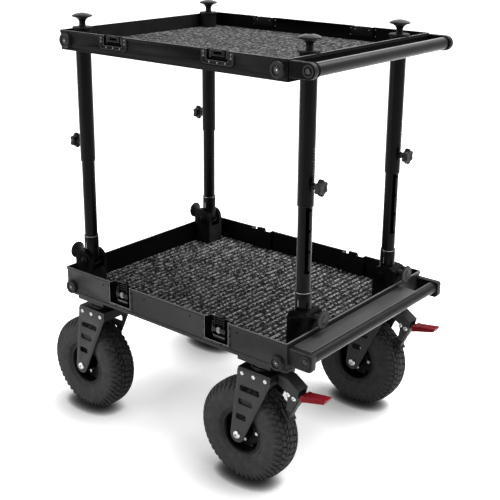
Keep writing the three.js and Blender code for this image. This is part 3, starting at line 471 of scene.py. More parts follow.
# Shaping tools. A part is a bmesh in millimetres.
def tidyMesh(bm):
    bmesh.ops.remove_doubles(bm, verts=bm.verts, dist=0.005)
    bmesh.ops.recalc_face_normals(bm, faces=bm.faces)
    return bm


def lathe(profile, steps=48, closed=False):
    bm = bmesh.new()
    verts = [bm.verts.new((radius, 0, height)) for radius, height in profile]
    pairs = list(zip(verts, verts[1:])) + ([(verts[-1], verts[0])] if closed else [])
    geometry = verts + [bm.edges.new(pair) for pair in pairs]
    axis = (0, 0, 1)
    bmesh.ops.spin(bm, geom=geometry, cent=(0, 0, 0), axis=axis, angle=fullTurn, steps=steps, use_merge=True)
    return tidyMesh(bm)


def near(radius, height, *steps):  # points of a profile, counted from one place on it
    return [(radius + out, height + up) for out, up in steps]


def mirrored(half):  # a lathe's profile from one half of it
    return [(radius, -station) for radius, station in reversed(half)] + half


def newVerts(made):
    return [v for v in made["geom"] if isinstance(v, bmesh.types.BMVert)]


def plate(outline, low, high):
    bm = bmesh.new()
    face = bm.faces.new([bm.verts.new((x, y, low)) for x, y in outline])
    top = newVerts(bmesh.ops.extrude_face_region(bm, geom=[face]))
    bmesh.ops.translate(bm, verts=top, vec=(0, 0, high - low))
    return tidyMesh(bm)


def box(size, centre=(0, 0, 0)):
    bm = bmesh.new()
    bmesh.ops.create_cube(bm, size=1)
    bmesh.ops.scale(bm, vec=size, verts=bm.verts)
    bmesh.ops.translate(bm, vec=centre, verts=bm.verts)
    return bm


def arc(x, y, radius, start, steps):  # a quarter turn, from so many quarters
    angles = [(start + step / steps) * math.pi / 2 for step in range(steps + 1)]
    return [(x + radius * math.cos(angle), y + radius * math.sin(angle)) for angle in angles]


def roundedOutline(length, width, radius, steps=5, x=0, y=0):
    outline = []
    for quarter, (right, up) in enumerate(((1, 1), (-1, 1), (-1, -1), (1, -1))):
        cx = x + (length / 2 - radius) * right
        cy = y + (width / 2 - radius) * up
        outline += arc(cx, cy, radius, quarter, steps)
    return outline


def soften(bm, width, segments=2, angle=35):
    layer = bm.faces.layers.float.get("edge") or bm.faces.layers.float.new("edge")
    limit = math.radians(angle)
    sharp = [e for e in bm.edges if len(e.link_faces) == 2 and e.calc_face_angle(0) > limit]
    made = bmesh.ops.bevel(
        bm, geom=sharp, offset=width, offset_type="OFFSET", segments=segments, profile=0.5,
        affect="EDGES", material=-1, clamp_overlap=True,
    )
    for face in made["faces"]:
        face[layer] = 1
    return bm


def softBox(size, centre, width, segments=2):
    return soften(box(size, centre), width, segments)


def softPlate(outline, low, high, width=0.4, segments=1):
    return soften(plate(outline, low, high), width, segments)


def moved(part, *steps):
    for matrix in steps:
        bmesh.ops.transform(part, matrix=matrix, verts=part.verts)
    return part


alongX = turn(90, "Y")  # a part's Z becomes X
alongY = turn(-90, "X")  # a part's Z becomes Y
upright = turn(90, "X")  # a plate drawn in X and Z, thick towards -Y
back = turn(180, "Y")  # what faced out of a wall faces in


def outward(side):  # a part's Z becomes the cart's outside, its Y stays up
    return upright if side < 0 else alongY @ turn(180, "Z")


def towards(side):  # the same for a round part
    return turn(-90 * side, "X")


# Adds a part to another. Without a material number it keeps its own.
def gather(target, part, matrix=None, material=0):
    copy = part.copy()
    moved(copy, matrix or shift())
    if material is not None:
        for face in copy.faces:
            face.material_index = material
    data = toMesh(copy, "gathered")
    copy.free()
    target.from_mesh(data)
    bpy.data.meshes.remove(data)


def grid(along, across):
    return [(x, y) for x in along for y in across]


def scatter(target, part, base, places, rise=0, material=0):
    for x, y in places:
        gather(target, part, base @ shift(x, y, rise), material)


def placed(part, matrix, material=0):
    bm = bmesh.new()
    gather(bm, part, matrix, material)
    return bm


def refinedNode(name, reshape=None):
    bm = bmesh.new()
    bm.from_mesh(nodes[name].data)
    bmesh.ops.scale(bm, vec=(1 / mm,) * 3, verts=bm.verts)
    bmesh.ops.remove_doubles(bm, verts=bm.verts, dist=0.004)
    bmesh.ops.dissolve_limit(bm, angle_limit=math.radians(0.6), verts=bm.verts, edges=bm.edges)
    if reshape:
        reshape(bm)
    return bm


# A face that only meets its own plane, a rounded edge or a sharp one is shaded flat
def isCurved(face, layer, limit):
    if layer and face[layer]:
        return True
    for edge in face.edges:
        bend = edge.calc_face_angle(0) if len(edge.link_faces) == 2 else 0
        rounded = layer and any(other[layer] for other in edge.link_faces)
        if 0.01 < bend < limit and not rounded:
            return True
    return False


def finishPiece(name, bm, body, finish, replaces=(), angle=32):
    layer = bm.faces.layers.float.get("edge")
    limit = math.radians(angle)
    for face in bm.faces:
        face.smooth = isCurved(face, layer, limit)
    bmesh.ops.scale(bm, vec=(mm,) * 3, verts=bm.verts)
    data = toMesh(bm, name)
    bm.free()
    data.set_sharp_from_angle(angle=limit)
    piece = newObject(name, data)
    for title in [finish] if isinstance(finish, str) else finish:
        data.materials.append(materials[title])
    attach(piece, body)
    if replaces:
        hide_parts(*replaces)
    return piece


# Fasteners, standing on the XY plane with the head towards +Z
def buttonBolt(r, height, socket):
    floor = height * 0.45
    profile = [(0, floor), (socket, floor), (socket, height), (r * 0.62, height), (r * 0.86, height * 0.78)]
    return hexTurn(lathe(profile + [(r, height * 0.35), (r, -0.4)], 24), socket)


def hexTurn(bm, ring):  # makes one ring of a turned part six-sided
    for v in bm.verts:
        if abs(v.co.xy.length - ring) <= 0.02:
            turned = (math.degrees(math.atan2(v.co.y, v.co.x)) % 60) - 30
            v.co.xy *= math.cos(math.radians(30)) / math.cos(math.radians(turned))
    return bm


def hexHead(r, height):
    washer = r * 1.18
    profile = [(0, height), (r * 0.8, height), (r, height * 0.8), (r, 0), (washer, 0), (washer, -0.5)]
    return hexTurn(lathe(profile, 24), r)


def rivet(r, height):
    return lathe([(0, height), (r * 0.55, height * 0.9), (r * 0.9, height * 0.45), (r, 0), (r, -0.3)], 10)


# Trays: the solids' own sheet metal with softened edges, and turned bumpers over the plain ones
trays = {  # the hooks or the sleeves stand "over" the rim
    "lower_tray": {
        "finish": "trayPaint", "body": "base", "length": 740, "width": 590, "over": 7, "bumperDrop": 51,
    },
    "top_tray": {
        "finish": "shadedTopTrayPaint", "body": "top_tray", "length": 710, "width": 580, "over": 5, "bumperDrop": 24,
    },
}
trayShape = {"lip": 1.5, "soft": 0.8, "inside": 3.9, "rearWall": 8, "inward": -100}
bumper = {
    "radius": 18.2, "edge": 3, "cup": 11.5, "cupDepth": 2.6, "proud": 10, "in": 25,
    "bolt": (7.5, 2.2, 2.6), "glint": (2.4, 1.6),
}


def makeBumper():
    r, edge, cup, proud = (bumper[key] for key in ("radius", "edge", "cup", "proud"))
    floor = proud - bumper["cupDepth"]
    profile = [
        (0, floor), (cup - 0.6, floor), (cup, floor + 0.6), (cup + 0.4, proud - 0.5), (cup + 1, proud),
        (r - edge, proud), (r - edge * 0.3, proud - edge * 0.3), (r, proud - edge), (r, 2.4), (r - 0.8, 1.8),
        (r + 0.6, 1.2), (r + 0.6, -0.5),
    ]
    return lathe(profile, 56)


def makeTray(name, tray):
    halfLength, halfWidth = tray["length"] / 2, tray["width"] / 2
    low, high = nodeBox(name)
    rimZ = high.z - tray["over"]

    def sinkBumpers(bm):
        for v in bm.verts:
            if abs(v.co.y) > halfWidth + 0.4:
                v.co.y = math.copysign(halfWidth - 0.2, v.co.y)

    shell = soften(refinedNode(name, sinkBumpers), trayShape["soft"])
    insideX, insideY = halfLength - trayShape["inside"], halfWidth - trayShape["inside"]
    # Faces inside the tray or facing into it, and the top tray's rear face, take the dark paint: painted
    # shade.
    for face in shell.faces:
        centre, normal = face.calc_center_median(), face.normal
        inside = abs(centre.x) < insideX and abs(centre.y) < insideY
        inward = min(normal.x * centre.x, normal.y * centre.y) < trayShape["inward"]
        rear = name == "top_tray" and normal.x > 0.9 and centre.x > halfLength - trayShape["rearWall"]
        wall = low.z + 2 < centre.z < rimZ - 0.5
        face.material_index = 1 if (inside or inward or rear) and wall else 0
        # the rim's top faces take the pale paint: a painted highlight along the rim
        if abs(centre.z - rimZ) < 0.9 and normal.z > 0.5:
            face.material_index = 2
    finish = [tray["finish"], "paintedWellShade", "paleRimHighlight"]
    finishPiece(name + "_shell", shell, tray["body"], finish, [name])
    bumpers, bolts = bmesh.new(), bmesh.new()
    cap, bolt, glint = makeBumper(), buttonBolt(*bumper["bolt"]), rivet(*bumper["glint"])
    x, z = halfLength - bumper["in"], rimZ - tray["bumperDrop"]
    wall = halfWidth - trayShape["lip"]
    cupFloor = wall + bumper["proud"] - bumper["cupDepth"]
    for end, side in corners.values():
        gather(bumpers, cap, shift(end * x, side * wall, z) @ towards(side))
        seat = shift(end * x, side * cupFloor, z) @ towards(side)
        gather(bolts, bolt, seat)
        gather(bolts, glint, seat, 1)
    finishPiece(name + "_bumpers", bumpers, tray["body"], "trayPlastic")
    finishPiece(name + "_bumper_bolts", bolts, tray["body"], ["darkSteel", "zincSteel"])


for trayName, trayValues in trays.items():
    makeTray(trayName, trayValues)
print("trays ready")


# Latches: butterfly wing, hook and case in each dish of the lower tray
latch = {
    "spread": 163, "drop": 30, "floor": 279.5, "seat": 283.8, "face": 295, "inside": 277.5, "wall": 290.5,
    "pocket": (64, 53), "hook": (26, 37), "rivet": 2.1,
    "bezelRivets": grid((-40.5, 40.5), (20, 0, -22)) + [(-14, -29.6), (14, -29.6)],
    "flanges": (-40, 40), "flangeRivets": (-20, 0, 20),
    "sideScrews": ((62, 14), (-86, 14)),  # counted away from the tray's middle
}


def pocketRing(width, depth, band, corner=0):
    ring = []
    for inset in (0, band):
        w, d, r = width / 2 - inset, depth - inset, max(corner - inset, 0.01)
        half = [(-w, 0)] + arc(r - w, r - d, r, 2, 4)
        loop = half + [(-x, y) for x, y in reversed(half)]
        ring += loop[::-1] if inset else loop
    return plate(ring, -0.3, 0.9)


def latchCase():
    case = bmesh.new()
    width, top = latch["hook"]
    # the back plates and top slab of the case are dead black: painted shade in the pocket
    gather(case, softPlate(roundedOutline(54, 42, 4, y=-1), -0.5, 1.3), material=2)
    gather(case, softPlate(roundedOutline(36, 21, 4, y=-2), 1, 3.9, 0.8, 2), material=2)
    gather(case, softPlate(roundedOutline(36, 5.4, 2.4, y=-18.4), 1, 6.4, 1.1, 2), material=1)
    for x in (-22.5, 22.5):
        gather(case, softBox((3.4, 24, 3.6), (x, -1, 2.6), 0.7))
        scatter(case, rivet(2.2, 1.2), shift(), ((x, -18), (x, 15)), 1.3, 1)
    gather(case, softBox((width + 3, top - 4, 1.8), (0, top / 2 + 1.5, 2.7), 0.5), material=2)
    gather(case, softBox((width - 1, 3.2, 5.4), (0, top - 2.2, 4.4), 0.9))
    for y in (15, 21, 27):
        gather(case, softBox((width - 5, 1.8, 1), (0, y, 3.9), 0.4, 1))
    for x in (-width / 2 - 1.2, width / 2 + 1.2):
        gather(case, softBox((1.6, top - 8, 4.6), (x, top / 2, 3.4), 0.5, 1))
    return case


def latchWing():
    edge = [(2.5, 3.2), (7, 3.4), (12, 5.4), (17, 6.5), (20, 6), (21, 4)]
    half = edge + [(x, -y) for x, y in reversed(edge)]
    wing = placed(softPlate(half + [(-x, y) for x, y in reversed(half)], 2.5, 5, 0.6, 2), None)
    hub = lathe([(0, 6.4), (3.4, 6.4), (4.2, 6), (4.4, 4.8), (7, 4.6), (8, 3.8), (8, 0)], 32)
    gather(wing, hexTurn(hub, 3.4), None, 1)
    gather(wing, lathe([(0, 0.5), (3, 0.5), (3, -5.4), (0, -5.4)], 20))
    return wing


def makeLatches():
    cases, trims, rivets = bmesh.new(), bmesh.new(), bmesh.new()
    z = nodeBox("lower_tray")[1].z - trays["lower_tray"]["over"] - latch["drop"]
    case, wing, stud = latchCase(), latchWing(), rivet(latch["rivet"], 1)
    width, depth = latch["pocket"]
    ring, shade = pocketRing(width + 12, depth + 4, 2), pocketRing(width + 8, depth + 2, 4.5)
    backing = softPlate(roundedOutline(width, 46, 3, y=-2), -0.4, 1.2)
    flange = softPlate(roundedOutline(11, 50, 3), -0.4, 1.2)
    for name, (end, side) in corners.items():
        def at(y):
            return shift(end * latch["spread"], side * y, z) @ outward(side)

        node = "latch_wing_" + name
        bm = placed(wing, at(latch["seat"]), None)
        finishPiece("latch_butterfly_" + name, bm, node, ["trayPlastic", "dullSteel"], [node])
        face, inward = at(latch["face"]), at(latch["wall"]) @ back
        gather(cases, case, at(latch["floor"]), None)
        # the pocket's rim takes the pale paint: a painted highlight
        gather(trims, ring, face @ shift(0, latch["drop"], 0))
        # a dead black ring just inside the pocket's rim: painted shade
        gather(trims, shade, face @ shift(0, latch["drop"], -0.3), 2)
        # the backing inside the wall takes painted shade
        gather(trims, backing, at(latch["inside"]) @ back, 1)
        scatter(rivets, stud, face, latch["bezelRivets"])
        screws = [(-side * end * x, y) for x, y in latch["sideScrews"]]
        scatter(rivets, stud, at(latch["wall"] + 3), screws)
        scatter(trims, flange, inward, grid(latch["flanges"], (0,)), 0, 1)
        scatter(rivets, stud, inward, grid(latch["flanges"], latch["flangeRivets"]), 1.2)
    finishPiece("latch_cases", cases, "base", ["trayPlastic", "latchSteel", "shadePaint"])
    finishPiece("latch_trims", trims, "base", ["paleRimHighlight", "paintedWellShade", "shadePaint"])
    finishPiece("latch_rivets", rivets, "base", "shadePaint")


# Keepers: framed pockets of the top tray that take the hooks of a second tray
keeper = {
    "spread": 163, "face": 290, "floor": 280.5, "wall": 285.5, "rivet": 2.1,
    "bezel": (92, 32, 1.3, 10), "pocket": (65, 24.5, 1.5, 3),
    "rivets": grid((-39.5, 39.5), (-6, -15)) + grid((-23, 0, 23), (-27.3,)),
    "boxRivets": ((-21, -8), (22, -8)),
    "cheeks": (-24, 24), "ears": (-39.5, 39.5), "flanges": (-37.5, 37.5), "flangeRivets": (-7, -23),
}


def makeKeepers():
    rimZ = nodeBox("top_tray")[1].z - trays["top_tray"]["over"]
    trims, catches, rivets = bmesh.new(), bmesh.new(), bmesh.new()
    rings = [pocketRing(*keeper["bezel"]), pocketRing(*keeper["pocket"])]
    ear = softPlate(roundedOutline(9, 17, 3, y=-10.5), -0.3, 1.3)
    catch, cheek = softBox((38, 13, 2), (0, -7, 7.6), 0.7), softBox((4, 16, 6), (0, -10, 3.5), 0.8)
    slot = softBox((22, 5, 0.8), (0, -7, 8.7), 0.3, 1)
    flange = softPlate(roundedOutline(9, 26, 3, y=-15), -0.4, 1.2)
    stud = rivet(keeper["rivet"], 1)
    for end, side in corners.values():
        def at(y):
            return shift(end * keeper["spread"], side * y, rimZ) @ outward(side)

        face, floor, inward = at(keeper["face"]), at(keeper["floor"]), at(keeper["wall"]) @ back
        for ring in rings:
            gather(trims, ring, face)
        gather(catches, catch, floor, 1)
        # the slot in the catch is dead black: painted shade
        gather(catches, slot, floor, 2)
        scatter(catches, cheek, floor, grid(keeper["cheeks"], (0,)))
        scatter(catches, ear, face, grid(keeper["ears"], (0,)))
        scatter(rivets, stud, face, keeper["rivets"], 0.6)
        # the flanges inside the wall take painted shade
        scatter(trims, flange, inward, grid(keeper["flanges"], (0,)), 0, 1)
        scatter(rivets, stud, inward, grid(keeper["flanges"], keeper["flangeRivets"]), 1.2)
        scatter(rivets, stud, inward, keeper["boxRivets"], 7)
    finishPiece("keeper_trims", trims, "top_tray", ["forkPaint", "paintedWellShade"])
    finishPiece("keeper_catches", catches, "top_tray", ["trayPlastic", "shadedTopTrayPaint", "shadePaint"])
    finishPiece("keeper_rivets", rivets, "top_tray", "dullSteel")


makeLatches()
makeKeepers()
print("latches and keepers ready")


# Push handle and its brackets
handle = {
    "radius": 15, "wall": 2.5, "collar": 17.5, "collarLength": 7, "lug": 12, "lugProud": 3,
    "bolt": (6.5, 3.0, 2.6),
}


def lugOutline(low, high, footCorner, topCorner):
    foot = arc(high.x - footCorner, low.z + footCorner, footCorner, -1, 8)
    top = arc(high.x - topCorner, high.z - topCorner, topCorner, 0, 8)
    return [(low.x, low.z)] + foot + top + [(low.x, high.z)]


def makeLug(outline, side, inner, outer, first=0):
    near, far = sorted((-side * inner, -side * outer))
    lug = soften(moved(plate(outline, near, far), upright), 1.6, 3)
    for face in lug.faces:
        # the flat sides take the second paint, darker than the rounded edges: painted shade on the flat sides
        face.material_index = first + (abs(face.normal.y) > 0.95)
    return lug


def addBolt(target, ring, facing):
    gather(target, ring, facing, 1)
    gather(target, buttonBolt(*handle["bolt"]), facing)


def makeHandle():
    low, high = nodeBox("push_handle")
    x, z, end = (low.x + high.x) / 2, (low.z + high.z) / 2, high.y
    r, collar, start = handle["radius"], handle["collar"], end - handle["collarLength"]
    half = [
        (r, start - 0.6), (collar - 0.8, start - 0.6), (collar, start + 0.2), (collar, end - 0.9),
        (collar - 0.9, end), (r - handle["wall"], end),
    ]
    tube = lathe(mirrored(half), 64, closed=True)
    # the collars at the tube's ends, where it meets its brackets, take painted shade
    for face in tube.faces:
        face.material_index = int(abs(face.calc_center_median().z) > start - 0.7)
    moved(tube, alongY, shift(x, 0, z))
    finishPiece("handle_tube", tube, "top_tray", ["handlePaint", "paintedWellShade"], ["push_handle"])
    bolts = bmesh.new()
    profile = [(9.5, 0.2), (9.8, 1.2), (13.4, 1.2), (13.8, 0.8), (14, -0.4), (9.5, -0.4)]
    ring = lathe(profile, 40, closed=True)
    for side, title in ((-1, "left"), (1, "right")):
        name = "handle_bracket_" + title
        low, high = nodeBox(name)
        outer = (high.y if side > 0 else -low.y) - handle["lugProud"]
        corner = (high.z - low.z) / 2
        lug = makeLug(lugOutline(low, high, corner, corner), side, outer - handle["lug"], outer)
        finishPiece("handle_lug_" + title, lug, "top_tray", ["trayPlastic", "socketPaint"], [name])
        addBolt(bolts, ring, shift(x, side * outer, z) @ outward(side))
    finishPiece("handle_bolts", bolts, "top_tray", ["darkSteel", "trayPlastic"])


# Bumper bar with its lugs, and the shelf over it
rail = {"radius": 14, "lug": 15, "lugProud": 3, "reach": 19, "below": 25, "corners": (12, 6), "overlap": 4}


def makeBumperBar():
    low, high = nodeBox("bumper_bar")
    x, z = high.x - rail["reach"], low.z + rail["below"]
    outer = high.y - rail["lugProud"]
    inner, r = outer - rail["lug"], rail["radius"]
    end = inner + rail["overlap"]
    body = placed(lathe([(0, -end), (r, -end), (r, end), (0, end)], 64), shift(x, 0, z) @ alongY)
    ends = bmesh.new()
    ring = lathe([(0, 0.6), (9.5, 0.6), (10.4, 1.8), (13.4, 1.8), (14.2, 1.0), (14.4, -0.4)], 40)
    for side in (-1, 1):
        gather(body, makeLug(lugOutline(low, high, *rail["corners"]), side, inner, outer, 1), None, None)
        addBolt(ends, ring, shift(x, side * outer, z) @ outward(side))
    paint = ["handlePaint", "trayPlastic", "crownPaint"]
    finishPiece("bumper_rail", body, "base", paint, ["bumper_bar"])
    finishPiece("bumper_bolts", ends, "base", ["darkSteel", "trayPlastic"])
    shelf = soften(refinedNode("bumper_shelf"), 0.9)
    finishPiece("bumper_tread", shelf, "base", "shelfPaint", ["bumper_shelf"])


makeHandle()
makeBumperBar()
print("handle and bumper ready")


# Casters: fork with bolts and turned races, axle, rim, tyre
caster = {
    "plateOuter": 48, "boltDrop": 13, "boltSpread": 34, "bolt": (5, 2.4, 2.2), "mountHalf": 36,
    "mountRise": 19.3, "mountBolt": (6.5, 4), "crownInner": 43.5, "raceRise": 6.3,
}


def makeForks():
    bolt, mountBolt = buttonBolt(*caster["bolt"]), hexHead(*caster["mountBolt"])
    profile = [(20, 5.95), (34.8, 5.95), (35.8, 5.4), (36.1, 4.6), (36.1, 1.2), (37.5, 0.6), (38, -0.3)]
    lowerRace = lathe(profile, 72)
    profile = [(20, 0.02), (31, 0.02), (32.2, 0.8), (32.2, 3.4), (31.2, 3.8), (31.2, 4.8), (32.2, 5.2)]
    upperRace = lathe(profile + [(32.2, 10.4), (34.5, 12), (36, 13.2)], 72)
    races, mountBolts = bmesh.new(), bmesh.new()
    for name in corners:
        swivel = jointPlace("caster_swivel_" + name)
        body = "caster_" + name
        fork = soften(refinedNode("caster_fork_" + name), 0.8)
        for face in fork.faces:
            face.material_index = int(abs(face.calc_center_median().y - swivel.y) < caster["crownInner"])
        gather(fork, lowerRace, shift(*swivel), 1)
        finishPiece("fork_" + name, fork, body, ["forkPaint", "crownPaint"], ["caster_fork_" + name])
        bolts = bmesh.new()
        for x, face in grid((-1, 0, 1), (-1, 1)):
            place = Vector((x * caster["boltSpread"], face * caster["plateOuter"], -caster["boltDrop"]))
            gather(bolts, bolt, shift(*(swivel + place)) @ towards(face))
        finishPiece("fork_bolts_" + name, bolts, body, "zincSteel")
        gather(races, upperRace, shift(swivel.x, swivel.y, swivel.z + caster["raceRise"]))
        for x, y in corners.values():
            place = Vector((x * caster["mountHalf"], y * caster["mountHalf"], caster["mountRise"]))
            gather(mountBolts, mountBolt, shift(*(swivel + place)) @ turn(180, "X"))
    finishPiece("caster_races", races, "base", "darkSteel")
    finishPiece("mount_bolts", mountBolts, "base", "zincSteel")


axle = {"radius": 6, "face": 48.3, "head": (10, 4, 4.2), "nut": 9.2}


def makeAxles():
    face, r, nutRadius, deep = axle["face"], axle["radius"], axle["nut"], axle["head"][1]
    shank = lathe([(0, -face), (r, -face), (r, face), (0, face)], 32)
    screwHead = buttonBolt(*axle["head"])
    profile = near(0, deep, (0, 0), (4.4, 0), (4.6, -0.6), (6.2, -0.6), (8.4, -0.5), (nutRadius, -1.2))
    nut = hexTurn(lathe(profile + [(nutRadius, 0)], 24), nutRadius)
    washer = lathe([(4, 0.9), (9.7, 0.9), (10, 0.6), (10, -0.4)], 40)
    for name in corners:
        hub = jointPlace("wheel_spin_" + name)
        bm = placed(shank, shift(*hub) @ alongY)
        for side in (-1, 1):
            facing = shift(hub.x, hub.y + side * face, hub.z) @ towards(side)
            gather(bm, washer, facing)
            gather(bm, screwHead if side < 0 else nut, facing)
        finishPiece("axle_" + name, bm, "caster_" + name, "zincSteel", ["caster_axle_" + name])


rimShape = {
    "radius": 57.5, "half": 33, "hub": 18, "hubHalf": 43.7, "bore": 6.4, "flange": 1.6, "web": 4.8,
    "bolts": 4, "boltRing": 30.5, "turn": 8, "bolt": (5.6, 8), "nut": (5.2, 7),
    "valveTurn": 65, "valveRing": 40,
}


def rimProfile():
    r, edge, hub, end, web = (rimShape[key] for key in ("radius", "half", "hub", "hubHalf", "web"))
    half = near(r, edge, (-5.5, -5), (-1.2, -3.4), (-0.1, -2.2), (0, -1), (-0.8, -0.1), (-2, 0), (-5.5, -0.6))
    half += near(r, edge, (-7.5, -2.6), (-9.2, -7), (-9.6, -16))
    half += near(r, 0, (-10, 7.2), (-11.4, 5.4), (-13.5, web)) + [(27, web), (25.4, 6.4)]
    half += near(hub, 0, (3, 7), (0.6, 8.4), (0, 11), (-1.5, 24)) + near(hub, end, (-3, -1), (-4, 0))
    return mirrored(half + [(rimShape["bore"], end)])


def makeRims():
    rim = lathe(rimProfile(), 72, closed=True)
    for face in rim.faces:
        around = face.calc_center_median().xy.length
        face.material_index = int(around > rimShape["radius"] - rimShape["flange"])
    bolt, nut = hexHead(*rimShape["bolt"]), hexHead(*rimShape["nut"])
    valve = lathe([(0, 17), (2.6, 17), (3, 16.4), (3, 8), (4, 7), (4.4, -2)], 20)
    for name in corners:
        body = "wheel_" + name
        place = shift(*jointPlace("wheel_spin_" + name)) @ alongY
        finish = ["rimPaint", "forkPaint"]
        finishPiece("rim_" + name, placed(rim, place, None), body, finish, ["wheel_rim_" + name])
        studs = bmesh.new()
        for count in range(rimShape["bolts"]):
            angle = rimShape["turn"] + count * 360 / rimShape["bolts"]
            around = place @ turn(angle, "Z") @ shift(rimShape["boltRing"], 0, 0)
            gather(studs, bolt, around @ shift(0, 0, rimShape["web"]))
            gather(studs, nut, around @ turn(180, "X") @ shift(0, 0, rimShape["web"]))
        finishPiece("rim_bolts_" + name, studs, body, "zincSteel")
        seat = place @ turn(rimShape["valveTurn"], "Z") @ shift(rimShape["valveRing"], 0, 3)
        stem = placed(valve, seat @ turn(-12, "Y") @ turn(180, "X"))
        finishPiece("valve_" + name, stem, body, "tyreRubber")


# Tyres: a turned casing, with lugs raised from chosen cells of its tread
tyre = {
    "radius": 128.8, "half": 41.5, "rim": 57.5, "bead": 33, "pitches": 48, "perPitch": 4, "tread": 4.2,
    # from, to, stagger and gap, the last two in cells
    "rows": ((-6.5, 6.5, 0, 1), (9.3, 17, 2, 1), (19.4, 28, 0, 1), (30.3, 41, 2, 2)),
    "stations": (41, 39, 35.5, 30.3, 28, 23.5, 19.4, 17, 13, 9.3, 6.5), "edge": 40, "edgeTread": 0.4,
    "treadDepth": 28, "zigzag": 0.55, "turnBack": 18, "turns": {"left": 17, "right": 5},
}


def crownRadius(station):
    drop = 32
    share = min(1, abs(station) / 42)
    return tyre["radius"] - drop + drop * (1 - share ** 3.2) ** (1 / 2.2)


def tyreProfile():
    half, rim, bead = (tyre[key] for key in ("half", "rim", "bead"))
    side = near(rim, bead, (-4.6, -7), (0.6, -2.6), (2.6, 0.4), (5, 3), (7.2, 4), (8, 5.4), (10.2, 5.6))
    side += near(rim, bead, (11.2, 4.8), (18, 7))
    side += near(rim, half, (25, -0.4), (32, 0), (33, 0), (39, -0.3), (44, -0.8))
    crown = [(crownRadius(station) - tyre["tread"], station) for station in tyre["stations"]]
    return mirrored((side + crown)[::-1])


def makeTyre():
    r, perPitch = tyre["radius"], tyre["perPitch"]
    steps = tyre["pitches"] * perPitch
    bm = lathe(tyreProfile(), steps, closed=True)
    lugs = []
    for face in bm.faces:
        middle = face.calc_center_median()
        if middle.xy.length < r - tyre["treadDepth"]:
            continue
        step = int((math.atan2(middle.y, middle.x) % fullTurn) / fullTurn * steps)
        if middle.z > 0:
            step += perPitch // 2
        for near, far, stagger, gap in tyre["rows"]:
            if near <= abs(middle.z) < far and (step + stagger) % perPitch >= gap:
                lugs.append(face)
    raised = newVerts(bmesh.ops.extrude_face_region(bm, geom=lugs))
    bmesh.ops.delete(bm, geom=lugs, context="FACES")
    for v in raised:
        share = 1 if abs(v.co.z) < tyre["edge"] else tyre["edgeTread"]
        v.co.xy *= 1 + tyre["tread"] * share / v.co.xy.length
    for v in bm.verts:
        if v.co.xy.length > r - tyre["treadDepth"]:
            out = abs(v.co.z)
            angle = tyre["zigzag"] * min(out, 2 * tyre["turnBack"] - out) / r
            v.co = Matrix.Rotation(angle, 3, "Z") @ v.co
    bmesh.ops.recalc_face_normals(bm, faces=bm.faces)
    return bm


def makeTyres():
    shape = makeTyre()
    for name in corners:
        start = tyre["turns"][name.split("_")[1]]
        bm = placed(shape, shift(*jointPlace("wheel_spin_" + name)) @ alongY @ turn(start, "Z"))
        finishPiece("tyre_" + name, bm, "wheel_" + name, "tyreRubber", ["wheel_tyre_" + name], 40)


makeForks()
makeAxles()
makeRims()
makeTyres()
print("casters ready")


# Brakes: bracket and shoe lever keep the solids' forms, the pedal is a ribbed moulding
brake = {"bolt": (6, 3, 2.4), "second": (-16, 5), "cheek": 18}
pedal = {
    "rootHeight": 16, "tipHeight": 10, "rootDrop": 12, "tipDrop": 2.5, "lean": 5,
    "rootWidth": 34, "width": 28, "neck": 12, "ribs": 9, "ribSpan": (0.24, 0.68),
    "soft": 0.8, "border": 2.4, "sink": 1.3,
}


def makeBrakes():
    bolt = buttonBolt(*brake["bolt"])
    for name in ("rear_left", "rear_right"):
        swivel, pivot = jointPlace("caster_swivel_" + name), jointPlace("brake_" + name)
        body, node = "caster_" + name, "brake_bracket_" + name
        finishPiece("brake_cheeks_" + name, soften(refinedNode(node), 0.8), body, "forkPaint", [node])
        node = "brake_lever_" + name
        lever = soften(refinedNode(node), 0.9)
        finishPiece("brake_shoe_" + name, lever, "brake_" + name, "trayPlastic", [node])
        bolts = bmesh.new()
        for face in (-1, 1):
            for x, z in ((0, 0), brake["second"]):
                place = shift(pivot.x + x, swivel.y + face * brake["cheek"], pivot.z + z)
                gather(bolts, bolt, place @ towards(face))
        finishPiece("brake_bolts_" + name, bolts, body, "zincSteel")
        makePedal(name, swivel)


def makePedal(name, swivel):
    node = "brake_pedal_" + name
    low, high = nodeBox(node)
    length, border, sink = high.x - low.x, pedal["border"], pedal["sink"]
    half = [(0, pedal["rootWidth"] / 2), (pedal["neck"], pedal["width"] / 2), (length, pedal["width"] / 2)]
    body = plate([(x, -y) for x, y in half] + half[::-1], -pedal["rootHeight"], 0)
    for v in body.verts:
        share = v.co.x / length
        if v.co.z < -1:
            v.co.z += share * (pedal["rootHeight"] - pedal["tipHeight"])
            v.co.x -= share * pedal["lean"]
    top = [face for face in body.faces if face.normal.z > 0.9]
    bmesh.ops.inset_region(body, faces=top, thickness=border, depth=-sink)
    soften(body, pedal["soft"])
    rib = softBox((1.6, pedal["width"] - 2 * border + 0.4, sink + 0.2), (0, 0, 0), 0.3, 1)
    start, span = pedal["ribSpan"]
    for count in range(pedal["ribs"]):
        x = length * (start + span * count / (pedal["ribs"] - 1))
        gather(body, rib, shift(x, 0, -sink / 2 - 0.2))
    rise = (pedal["rootDrop"] - pedal["tipDrop"]) / length
    for v in body.verts:
        v.co.z += v.co.x * rise - pedal["rootDrop"]
    moved(body, shift(low.x, swivel.y, high.z))
    finishPiece("pedal_" + name, body, "brake_" + name, "pedalPlastic", [node])


makeBrakes()
print("brakes ready")


